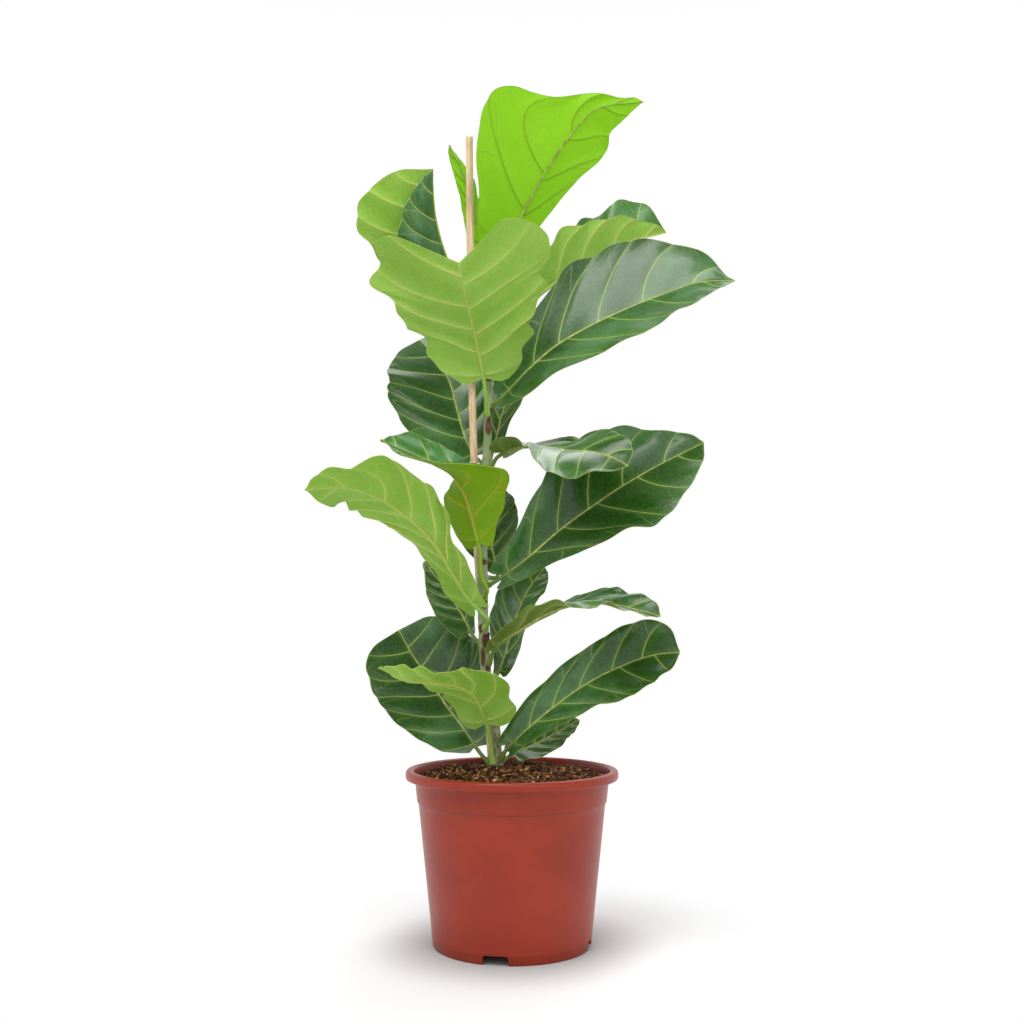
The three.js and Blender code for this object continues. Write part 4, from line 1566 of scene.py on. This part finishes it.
LEAVES = (
    Leaf(
        "leaf_01", 197,
        ((-36, 10, 208), (-44, 20, 218), (-59, 30, 238), (-74, 37, 256), (-88, 41, 276),
            (-102, 44, 297), (-118, 45, 319), (-134, 43, 348)),
        petiole=28,
        left=(16, 38, 54, 64, 72, 70, 62, 40),
        right=(18, 32, 50, 62, 68, 66, 58, 38),
        facing=((0.15, -0.85, 0.45), (0.15, -0.85, 0.45)),
        fold=(10, 10), curl=(8, 8), notch=0.02, wave=2.0,
    ),
    Leaf(
        "leaf_02", 203,
        ((-25, -14, 228), (-32, -28, 255), (-42, -48, 277), (-59, -66, 289), (-83, -82, 294),
            (-111, -94, 297), (-141, -102, 310)),
        petiole=44,
        left=(20, 34, 38, 38, 38, 34, 24, 12),
        right=(20, 32, 38, 38, 36, 34, 24, 12),
        facing=((0.05, 0.75, 0.6), (0.1, 0.4, 0.9), (0, 0.12, 1)),
        tone=Tone.LIGHT, fold=(10, 10), curl=(0, 0), wave=5.0, ripple=0.07,
    ),
    Leaf(
        "leaf_03", 206,
        ((-5, -10, 216), (20, -22, 241), (53, -34, 269), (86, -42, 292), (124, -50, 311),
            (156, -56, 322), (183, -62, 325)),
        petiole=18,
        left=(12, 18, 26, 30, 34, 38, 40, 26),
        right=(14, 18, 28, 38, 46, 50, 44, 28),
        facing=((-0.2, -0.8, 0.55), (-0.2, -0.8, 0.55)),
        fold=(10, 16), curl=(20, 0), rim=(6, 4),
    ),
    Leaf(
        "leaf_04", 200,
        ((3, 16, 208), (26, 28, 216), (50, 41, 227), (80, 56, 242)),
        petiole=16,
        left=(10, 14, 18, 19, 17, 13, 9, 4),
        right=(12, 16, 20, 20, 18, 14, 9, 4),
        facing=((0, -0.8, 0.55), (0, -0.8, 0.55)),
        fold=(10, 10), curl=(0, 0),
    ),
    Leaf(
        "leaf_05", 313,
        ((-17, -16, 332), (9, -34, 350), (37, -52, 367), (68, -70, 377), (99, -86, 378),
            (130, -98, 372), (157, -106, 364)),
        petiole=18,
        left=(10, 14, 18, 24, 30, 30, 24, 12),
        right=(8, 13, 20, 30, 38, 40, 32, 16),
        facing=((-0.2, 0.3, 0.9), (-0.1, 0.1, 1), (0, -0.3, 0.95), (0.1, -0.5, 0.85)),
        fold=(14, 14), curl=(0, 0), wave=5.5, ripple=0.06,
    ),
    Leaf(
        "leaf_06", 333,
        ((-46, 16, 343), (-58, 26, 365), (-76, 37, 393), (-92, 46, 413), (-106, 54, 429)),
        petiole=20,
        left=(14, 22, 28, 28, 25, 19, 9, 4),
        right=(3, 8, 16, 26, 30, 28, 22, 12),
        facing=((0, -0.85, 0.5), (0, -0.85, 0.5)),
        fold=(10, 10), curl=(0, 0),
    ),
    Leaf(
        "leaf_07", 408,
        ((-17, 12, 410), (-19, 26, 425), (-26, 36, 454), (-32, 40, 481), (-37, 42, 507),
            (-39, 43, 524)),
        petiole=20,
        left=(6, 14, 26, 34, 38, 36, 28, 14),
        right=(10, 16, 24, 32, 38, 38, 30, 14),
        facing=((0, -0.9, 0.4), (0, -0.9, 0.4)),
        fold=(10, 10), curl=(0, 0),
    ),
    Leaf(
        "leaf_08", 292,
        ((-18, 13, 296), (-12, 26, 309), (-6, 33, 327), (0, 38, 348), (8, 42, 372), (19, 46, 395),
            (31, 50, 412), (40, 54, 422)),
        petiole=16,
        left=(4, 8, 18, 28, 30, 30, 24, 10),
        right=(10, 14, 15, 15, 17, 18, 17, 9),
        facing=((0, -0.85, 0.5), (0, -0.85, 0.5)),
        fold=(10, 10), curl=(0, 0),
    ),
    Leaf(
        "leaf_09", 352,
        ((-27, -20, 360), (-39, -27, 373), (-51, -34, 387), (-66, -54, 412), (-83, -80, 441),
            (-107, -105, 466), (-139, -128, 487), (-174, -140, 497), (-214, -146, 494)),
        petiole=38,
        left=(14, 16, 20, 25, 43, 57, 38, 14),
        right=(16, 20, 28, 34, 44, 58, 58, 24),
        facing=((0.15, 0.65, 0.75), (0.1, 0.5, 0.85), (0.1, 0.35, 0.9)),
        tone=Tone.LIGHT, fold=(10, 10), curl=(0, 0), wave=6.0, veins=7, ripple=0.1,
    ),
    Leaf(
        "leaf_10", 400,
        ((-11, -8, 409), (20, -18, 432), (54, -28, 461), (90, -36, 487), (126, -42, 511),
            (167, -48, 534), (214, -54, 557)),
        petiole=20,
        left=(14, 24, 40, 66, 76, 64, 36, 16),
        right=(14, 22, 38, 58, 72, 76, 54, 24),
        facing=((-0.2, -0.88, 0.45), (-0.2, -0.88, 0.45)),
        fold=(10, 18), curl=(0, 0), wave=4.5, rim=(3, 0), ripple=0.025,
    ),
    Leaf(
        "leaf_11", 386,
        ((-28, -20, 394), (-35, -27, 410), (-36, -32, 434), (-42, -42, 461), (-48, -52, 484),
            (-55, -60, 504), (-67, -64, 521), (-88, -60, 533), (-116, -52, 547), (-148, -46, 560)),
        petiole=72,
        left=(14, 24, 40, 64, 70, 48, 34, 15),
        right=(12, 24, 36, 38, 32, 30, 28, 16),
        facing=((-0.1, 0.85, 0.5), (-0.1, 0.6, 0.8), (0, -0.1, 1), (0, -0.25, 1), (0, -0.15, 1)),
        tone=Tone.FRESH, fold=(6, 10), curl=(0, 46), wave=4.5, veins=5, ripple=0.05,
    ),
    Leaf(
        "leaf_12", 538,
        ((-14, -10, 549), (6, -22, 557), (37, -45, 554), (60, -65, 547), (84, -85, 543),
            (107, -102, 534), (123, -115, 523)),
        petiole=20,
        left=(14, 22, 26, 30, 34, 34, 28, 14),
        right=(14, 22, 30, 46, 64, 68, 52, 26),
        facing=((0, 0.3, 0.95), (0, -0.5, 0.85), (0.1, -0.95, 0.3)),
        fold=(10, 10), curl=(0, 0), wave=5.0, rim=(0, 3), ripple=0.03,
    ),
    Leaf(
        "leaf_13", 532,
        ((-32, 20, 540), (-46, 31, 556), (-57, 40, 580), (-67, 52, 615), (-77, 64, 651),
            (-94, 76, 682), (-115, 88, 708)),
        petiole=36,
        left=(20, 44, 66, 78, 80, 74, 60, 34),
        right=(18, 30, 42, 50, 54, 50, 40, 22),
        facing=((0.1, -0.85, 0.5), (0.1, -0.85, 0.5)),
        fold=(10, 10), curl=(0, 0),
    ),
    Leaf(
        "leaf_14", 545,
        ((-19, 20, 571), (-11, 35, 607), (3, 55, 650), (22, 75, 692)),
        petiole=15,
        left=(8, 12, 16, 22, 26, 26, 20, 10),
        right=(8, 12, 16, 22, 26, 26, 20, 10),
        facing=((-0.3, -0.85, 0.4), (-0.3, -0.85, 0.4)),
        fold=(20, 20), curl=(0, 0),
    ),
    Leaf(
        "leaf_15", 609,
        ((-11, -10, 617), (18, -20, 646), (50, -30, 672), (88, -38, 693), (128, -44, 711),
            (173, -50, 728), (211, -56, 739), (250, -62, 739)),
        petiole=20,
        left=(14, 30, 46, 72, 82, 76, 42, 8),
        right=(18, 42, 60, 74, 80, 68, 38, 14),
        facing=((-0.3, -0.85, 0.45), (-0.3, -0.85, 0.45)),
        fold=(12, 22), curl=(0, 0), wave=3.5, rim=(3, 2), ripple=0.02,
    ),
    Leaf(
        "leaf_16", 600,
        ((-30, -21, 616), (-33, -33, 640), (-39, -50, 667), (-45, -72, 691), (-52, -97, 716),
            (-57, -118, 743)),
        petiole=42,
        left=(22, 44, 56, 66, 80, 92, 94, 62),
        right=(24, 42, 56, 66, 78, 92, 96, 70),
        facing=((0, 0.75, 0.65), (0, 0.75, 0.65)),
        tone=Tone.LIGHT, fold=(12, 12), curl=(0, 0), notch=0.28, wave=6.5, veins=5, ripple=0.06,
    ),
    Leaf(
        "leaf_17", 690,
        ((2, 15, 714), (34, 22, 748), (79, 28, 781), (117, 34, 804), (151, 38, 819), (188, 42, 829)),
        petiole=30,
        left=(16, 28, 36, 40, 44, 52, 58, 42),
        right=(16, 28, 36, 43, 44, 36, 22, 10),
        facing=((-0.3, 0, 1), (-0.3, 0, 1)),
        tone=Tone.LIGHT, fold=(72, 70), curl=(0, 0), wave=4.5, ripple=0.06,
    ),
    Leaf(
        "leaf_18", 695,
        ((-36, -27, 710), (-60, -42, 740), (-76, -62, 772), (-85, -80, 806), (-87, -96, 838),
            (-86, -104, 852)),
        petiole=45,
        left=(24, 44, 58, 62, 56, 42, 26, 8),
        right=(18, 30, 48, 66, 80, 86, 70, 34),
        facing=((0, 0.85, 0.5), (0, 0.9, 0.4)),
        tone=Tone.LIGHT, fold=(-105, 5), curl=(-95, 0), wave=3.0, ripple=0.02,
    ),
    Leaf(
        "leaf_19", 770,
        ((-5, -12, 796), (10, -25, 825), (38, -40, 873), (67, -50, 913), (98, -58, 941),
            (149, -62, 947)),
        petiole=18,
        left=(13, 21, 30, 37, 44, 45, 24, 6),
        right=(20, 40, 60, 86, 96, 32, 9, 6),
        facing=((-0.42, 0.9, 0.1), (-0.42, 0.9, 0.3)),
        tone=Tone.YOUNG, fold=(8, 10), curl=(0, 0), wave=3.0, veins=5, sweep=0.24, ripple=0.012,
    ),
    Leaf(
        "leaf_20", 758,
        ((-35, 11, 786), (-41, 13, 822), (-48, 12, 860), (-60, 10, 893), (-75, 8, 925)),
        petiole=20,
        left=(5, 9, 13, 14, 13, 11, 8, 4),
        right=(5, 9, 13, 14, 13, 11, 8, 4),
        facing=((-0.3, 0.9, 0.1), (-0.3, 0.9, 0.1)),
        tone=Tone.YOUNG, fold=(25, 25), curl=(0, 0),
    ),
)
STIPULES = (Stipule(1, 587, -75, 13), Stipule(2, 648, -60, 15), Stipule(3, 340, -55, 12))


# ---------------------------------------------------------------------------------------------
# Pot and soil
# ---------------------------------------------------------------------------------------------
@dataclass
class Pot:
    """Round tapered nursery pot with a rolled lip, foot notches and drain holes."""

    height: float = 192.5
    rim_radius: float = 120.0
    lip_inner_radius: float = 110.7
    lip_height: float = 10.5
    body_top_radius: float = 109.5
    step_height: float = 157.0
    step_depth: float = 1.4
    foot_radius: float = 88.2
    wall: float = 1.9
    floor_height: float = 10.8
    pad_radius: float = 28.0
    drain_radius: float = 57.0
    drain_hole: float = 5.0
    drain_count: int = 8
    notch_width: float = 27.6
    notch_height: float = 10.2
    notch_count: int = 4
    notch_angle: float = -101.4
    sides: int = 160

    def wall_radius(self, height: float) -> float:
        """Outer radius of the body at a height.

        Args:
            height: height in mm above the ground.

        Returns:
            The radius in mm.
        """
        top = self.height - self.lip_height
        plain = self.foot_radius
        plain += (self.body_top_radius - self.step_depth - self.foot_radius) * height / top
        return plain + (self.step_depth if height > self.step_height else 0)

    def inner_radius(self, height: float) -> float:
        """Inner radius of the body at a height."""
        return self.wall_radius(height) - self.wall

    def _lip(self) -> list[tuple[float, float]]:
        """Profile of the rolled lip, from under it outside to under it inside.

        Returns:
            Radius and height of each ring, in mm.
        """
        foot, top = self.height - self.lip_height, self.height
        outer, inner = self.rim_radius, self.lip_inner_radius
        round_out = [(outer - 3 + 3 * math.sin(a), top - 4 + 3.6 * math.cos(a))
                     for a in np.radians([90, 66, 42, 20])]
        round_in = [(inner + 2.6 - 2.6 * math.sin(a), top - 3 + 2.6 * math.cos(a))
                    for a in np.radians([25, 50, 75, 95])]
        crown = [(outer - 4.6, top - 0.05), (inner + 3.4, top - 0.15)]
        return [
            (self.wall_radius(foot), foot - 0.6), (self.wall_radius(foot) + 0.6, foot),
            (outer - 2.6, foot), (outer - 1.0, foot + 0.5), (outer - 0.25, foot + 1.6),
            (outer, foot + 3.0), *round_out, *crown, *round_in,
        ]

    def build(self) -> None:
        """Turns the shell, then cuts its drain holes and foot notches."""
        floor, wall, step = self.floor_height, self.wall, self.step_height
        outside, inside = self.wall_radius, self.inner_radius
        profile = [
            (2, 0), (self.pad_radius - 1, 0), (self.pad_radius, 0.5),
            (self.pad_radius + 4.5, floor - 0.8), (self.pad_radius + 5.6, floor),
            (outside(floor) - 4, floor), (outside(floor) - 3, floor - 0.8),
            (outside(0) - 2.6, 0.5), (outside(0) - 2.2, 0), (outside(0) - 0.6, 0), (outside(0), 0.6),
            (outside(10) - 0.05, 9.4), (outside(10) + 0.35, 10.4), (outside(11) + 0.35, 11.4),
            *[(outside(z), z) for z in range(14, 155, 9)],
            (outside(step - 1.6), step - 1.6), (outside(step + 1) - 0.2, step + 0.3),
            (outside(step + 1), step + 1), (outside(168), 168), (outside(176), 176),
            *self._lip(),
            (inside(178), 178), *[(inside(z), z) for z in range(168, 20, -12)],
            (inside(floor + wall) - 0.2, floor + wall + 1), (inside(floor + wall) - 1.2, floor + wall),
            (self.pad_radius + 4, floor + wall), (self.pad_radius - 1, wall), (2, wall),
        ]
        shell = Bench.turned("pot_shell", profile, self.sides)
        cutters = [self._drain(i) for i in range(self.drain_count)]
        cutters += [self._notch(i) for i in range(self.notch_count)]
        cutter = Bench.join(cutters)
        Bench.apply(shell, "BOOLEAN", {"object": cutter, "operation": "DIFFERENCE", "solver": "EXACT"})
        bpy.data.objects.remove(cutter)
        Bench.smooth(shell, 50)
        Bench.dress(shell, "pot_plastic", "pot", PotFinish().material())

    def _drain(self, number: int) -> bpy.types.Object:
        """A cutter for a drain hole.

        Args:
            number: which of the holes.

        Returns:
            The cutter.
        """
        angle = 2 * math.pi * (number + 0.5) / self.drain_count
        x, y = self.drain_radius * math.cos(angle), self.drain_radius * math.sin(angle)
        Bench.clear()
        bpy.ops.mesh.primitive_cylinder_add(
            vertices=28, radius=self.drain_hole * MM, depth=6 * MM,
            location=(x * MM, y * MM, (self.floor_height + self.wall / 2) * MM))
        return Bench.name(f"drain_cutter_{number}")

    def _notch(self, number: int) -> bpy.types.Object:
        """A rounded block that cuts a notch in the foot.

        Args:
            number: which of the notches.

        Returns:
            The cutter.
        """
        turn = math.radians(self.notch_angle) + 2 * math.pi * number / self.notch_count
        Bench.clear()
        bpy.ops.mesh.primitive_cube_add(size=1)
        block = Bench.name(f"notch_cutter_{number}")
        bpy.ops.object.mode_set(mode="EDIT")
        bpy.ops.mesh.select_all(action="SELECT")
        bpy.ops.transform.resize(value=(16 * MM, self.notch_width * MM, 2 * self.notch_height * MM))
        bpy.ops.transform.translate(value=(self.foot_radius * MM, 0, 0))
        bpy.ops.mesh.bevel(offset=3 * MM, segments=4, affect="EDGES")
        bpy.ops.object.mode_set(mode="OBJECT")
        at = Bench.points(block)
        x, y = at[:, 0].copy(), at[:, 1].copy()
        at[:, 0] = x * math.cos(turn) - y * math.sin(turn)
        at[:, 1] = x * math.sin(turn) + y * math.cos(turn)
        block.data.vertices.foreach_set("co", at.ravel())
        return block


@dataclass
class Soil:
    """Mounded bed of peat inside the pot, with crumbs lying on it."""

    pot: Pot
    edge_height: float = 184.5
    mound_height: float = 194.5
    crumb_count: int = 2600
    chip_count: int = 260
    rim_gap: float = 2.5
    stem_foot: tuple[float, float] = (-17, 0)
    stem_gap: float = 8.5
    dark_shade: float = 0.72
    pale_share: float = 0.2
    pale_shades: tuple[float, float] = (0.66, 1.0)
    seed: int = 11

    def surface_height(self, radius: float) -> float:
        """Height of the smooth mound at a radius."""
        part = min(radius / (self.pot.lip_inner_radius - 4), 1)
        return self.edge_height + (self.mound_height - self.edge_height) * math.cos(part * math.pi / 2)

    def build(self) -> None:
        """Models the bed and scatters the crumbs."""
        self._bed()
        self._crumbs()

    def _bed(self) -> None:
        """The closed plug of soil with an uneven top."""
        pot = self.pot
        floor = pot.floor_height + pot.wall + 0.3
        edge = pot.inner_radius(self.edge_height) - 0.5
        profile = [
            (2, pot.wall + 0.3), (pot.pad_radius - 1.6, pot.wall + 0.3), (pot.pad_radius + 3.8, floor),
            (pot.inner_radius(floor) - 1.6, floor),
            *[(pot.inner_radius(z) - 0.5, z) for z in (30, 60, 90, 120, 150, 154, 160, 172)],
            (edge, self.edge_height - 1),
            *[(edge * k / 44, self.surface_height(edge * k / 44)) for k in range(44, 0, -1)],
        ]
        bed = Bench.turned("soil_bed", profile, 120)
        at = Bench.points(bed) / MM
        for point in at:
            if point[2] > self.edge_height - 3:
                at_point = Vector(point)
                rough = noise.noise(at_point * 0.035) * 2.6 + noise.noise(at_point * 0.16) * 1.6
                point[2] += rough - 0.6
        bed.data.vertices.foreach_set("co", (at * MM).ravel())
        bed.data.update()
        Bench.smooth(bed, 60)
        Bench.dress(bed, "soil", "soil", SoilFinish(crumbs=False).material())

    def _crumbs(self) -> None:
        """Crumbs and a few longer chips of bark, all in one mesh."""
        chance = random.Random(self.seed)
        Bench.clear()
        bpy.ops.mesh.primitive_ico_sphere_add(subdivisions=1, radius=1)
        crumbs = Bench.name("soil_crumbs")
        ball = Bench.points(crumbs)
        faces = np.array([p.vertices[:] for p in crumbs.data.polygons])
        points, triangles, shades = [], [], []
        reach = self.pot.inner_radius(self.edge_height) - self.rim_gap
        for i in range(self.crumb_count + self.chip_count):
            chip = i >= self.crumb_count
            radius = reach * math.sqrt(chance.random())
            way = chance.uniform(0, 2 * math.pi)
            x, y = radius * math.cos(way), radius * math.sin(way)
            if math.hypot(x - self.stem_foot[0], y - self.stem_foot[1]) < self.stem_gap:
                continue
            z = self.surface_height(radius) + noise.noise(Vector((x, y, 180)) * 0.035) * 2.6
            shape, size = self._crumb(chance, ball, way, chip)
            points.append(shape + (x, y, z + size * chance.uniform(-0.1, 0.35)))
            triangles.append(faces + len(ball) * (len(points) - 1))
            dark = chance.random() ** 1.8 * self.dark_shade
            pale = chip or chance.random() < self.pale_share
            shades += [chance.uniform(*self.pale_shades) if pale else dark] * len(ball)
        crumbs.data.clear_geometry()
        crumbs.data.from_pydata(
            (np.vstack(points) * MM).tolist(), [], np.vstack(triangles).tolist())
        Bench.attribute(crumbs, "shade", np.stack([shades] * 3, -1))
        Bench.mend(crumbs, gap=1e-9, fill=False)
        Bench.dress(crumbs, "soil", None, SoilFinish(crumbs=True).material())

    @staticmethod
    def _crumb(
        chance: random.Random, ball: np.ndarray, twist: float, chip: bool,
    ) -> tuple[np.ndarray, float]:
        """Makes one crumb's shape.

        Args:
            chance: source of its sizes.
            ball: points of a unit ball.
            twist: angle in radians that sets its lumps apart from the next one's.
            chip: True for a long flat chip.

        Returns:
            Its points in mm round the origin, and its size.
        """
        size = chance.uniform(0.8, 1.3) if chip else chance.uniform(0.9, 2.4) ** 1.15
        stretch = (chance.uniform(2.4, 4.6), 1.0, 0.6) if chip else (
            chance.uniform(0.8, 1.5), chance.uniform(0.7, 1.2), chance.uniform(0.5, 0.95))
        lumpy = ball * [1 + chance.uniform(-0.22, 0.22) for _ in range(3)]
        lumpy = lumpy * (1 + 0.22 * np.sin(ball @ [3.1, 4.7, 5.3] + twist))[:, None]
        turn, tilt = chance.uniform(0, 2 * math.pi), chance.uniform(-0.5, 0.5)
        ct, st, cs, ss = math.cos(turn), math.sin(turn), math.cos(tilt), math.sin(tilt)
        shape = lumpy * stretch * size @ np.array([[cs, 0, ss], [0, 1, 0], [-ss, 0, cs]])
        return shape @ np.array([[ct, st, 0], [-st, ct, 0], [0, 0, 1]]), size


@dataclass
class Stake:
    """Round wooden stick pushed into the soil; it crosses behind the stem."""

    line: tuple[Point, ...] = (
        (-13, 13, 35), (-18, 14, 120), (-27, 14, 246), (-33, 13, 337), (-39.5, 9, 429),
        (-43.5, 1, 533), (-46, -7, 614), (-47.5, -12, 695), (-50, -18, 924),
    )
    radius: float = 4.2

    def build(self) -> None:
        """Models the stick with a sawn top and slight knots."""
        spine = Spine(self.line)
        length = spine.length
        along = np.concatenate([np.linspace(0, length - 1, 300), [length - 0.5, length]])

        def radius(distance: np.ndarray, angle: np.ndarray) -> np.ndarray:
            """Radius with a worn rim at the ends and shallow flats.

            Args:
                distance: distances in mm along the piece.
                angle: angles in radians round it.

            Returns:
                The radii in mm.
            """
            worn = 0.45 * np.clip((distance - (length - 0.8)) / 0.8, 0, 1) ** 2
            flats = 0.10 * np.sin(3 * angle + distance * 0.004) + 0.06 * np.sin(7 * angle)
            swell = 0.08 * np.sin(distance * 0.05) + 0.05 * np.sin(distance * 0.17 + 1)
            return self.radius - worn + flats + swell

        stick = Bench.tube("stake_stick", spine, along, radius, 36)
        Bench.smooth(stick, 50)
        Bench.dress(stick, "stake_wood", "stake", StakeFinish().material())


# ---------------------------------------------------------------------------------------------
# Studio
# ---------------------------------------------------------------------------------------------
@dataclass(frozen=True)
class SoftLight:
    """A square light: where it stands, what it faces, its side in metres and its watts."""

    name: str
    at: Point
    aim: Point
    size: float
    power: float

    def build(self) -> None:
        """Adds the light."""
        data = bpy.data.lights.new(self.name, "AREA")
        data.size, data.energy = self.size, self.power
        light = bpy.data.objects.new(self.name, data)
        bpy.context.collection.objects.link(light)
        light.location = self.at
        way = Vector(self.aim) - Vector(self.at)
        light.rotation_euler = way.to_track_quat("-Z", "Y").to_euler()


@dataclass
class Studio:
    """Camera, pale floor, white surroundings and soft lights."""

    eye: Point = (0.0, -1.346, 0.364)
    tilt_up: float = 5.1
    lens: float = 41.13
    floor_size: float = 30.0
    overhead: float = 0.35
    dim_from: float = 0.45
    dim_to: float = 0.8
    lights: tuple[SoftLight, ...] = (
        SoftLight("key", (-0.45, -1.0, 2.3), (0, 0, 0.5), 1.3, 32),
        SoftLight("back", (0.5, 1.0, 2.2), (0, 0, 0.7), 1.3, 16),
        SoftLight("front", (0.9, -1.6, 1.2), (0, 0, 0.5), 0.8, 5),
    )

    def build_camera(self) -> None:
        """Sets the camera at the viewing angle."""
        data = bpy.data.cameras.new("camera")
        data.lens = self.lens
        camera = bpy.data.objects.new("camera", data)
        bpy.context.collection.objects.link(camera)
        camera.location = self.eye
        camera.rotation_euler = (math.radians(90 + self.tilt_up), 0, 0)
        bpy.context.scene.camera = camera

    def build_floor(self) -> None:
        """Adds the floor."""
        Bench.clear()
        bpy.ops.mesh.primitive_plane_add(size=self.floor_size)
        floor = Bench.name("studio_floor")
        floor.data.materials.append(StudioFinish().material())

    def _dome(self, tree: bpy.types.NodeTree) -> None:
        """Makes the surroundings white round the horizon and dimmer overhead.

        Args:
            tree: the surroundings' node tree.
        """
        sky = tree.nodes["Background"]
        sky.inputs["Color"].default_value = (1.0, 1.0, 1.0, 1.0)
        way = tree.nodes.new("ShaderNodeTexCoord")
        parts = tree.nodes.new("ShaderNodeSeparateXYZ")
        fall = tree.nodes.new("ShaderNodeMapRange")
        fall.interpolation_type = "SMOOTHSTEP"
        ends = {"From Min": self.dim_from, "From Max": self.dim_to, "To Min": 1.0,
                "To Max": self.overhead}
        for name, value in ends.items():
            fall.inputs[name].default_value = value
        tree.links.new(way.outputs["Generated"], parts.inputs["Vector"])
        tree.links.new(parts.outputs["Z"], fall.inputs["Value"])
        tree.links.new(fall.outputs["Result"], sky.inputs["Strength"])

    def build_light(self) -> None:
        """Adds the white surroundings and the soft lights."""
        world = bpy.data.worlds.new("studio")
        bpy.context.scene.world = world
        world.use_nodes = True
        self._dome(world.node_tree)
        for light in self.lights:
            light.build()
        bpy.context.scene.view_settings.view_transform = "Standard"


def main() -> None:
    """Builds every piece in order."""
    logging.basicConfig(level=logging.INFO, format="%(message)s")
    studio = Studio()
    studio.build_camera()
    studio.build_floor()
    studio.build_light()
    materials = {tone: LeafMaterials.of(tone) for tone in Tone}
    pot = Pot()
    pot.build()
    Soil(pot).build()
    Stake().build()
    stem = Stem()
    for leaf in LEAVES:
        leaf.prepare(stem)
    stem.build([(leaf.node, leaf.way) for leaf in LEAVES])
    stem.build_bud()
    dry = PaperyFinish("dry_scale", srgb(104, 70, 48), srgb(70, 42, 28)).material()
    for stipule in STIPULES:
        stipule.build(stem, dry)
    for leaf in LEAVES:
        leaf.build(materials[leaf.tone])


if __name__ == "__main__":
    main()
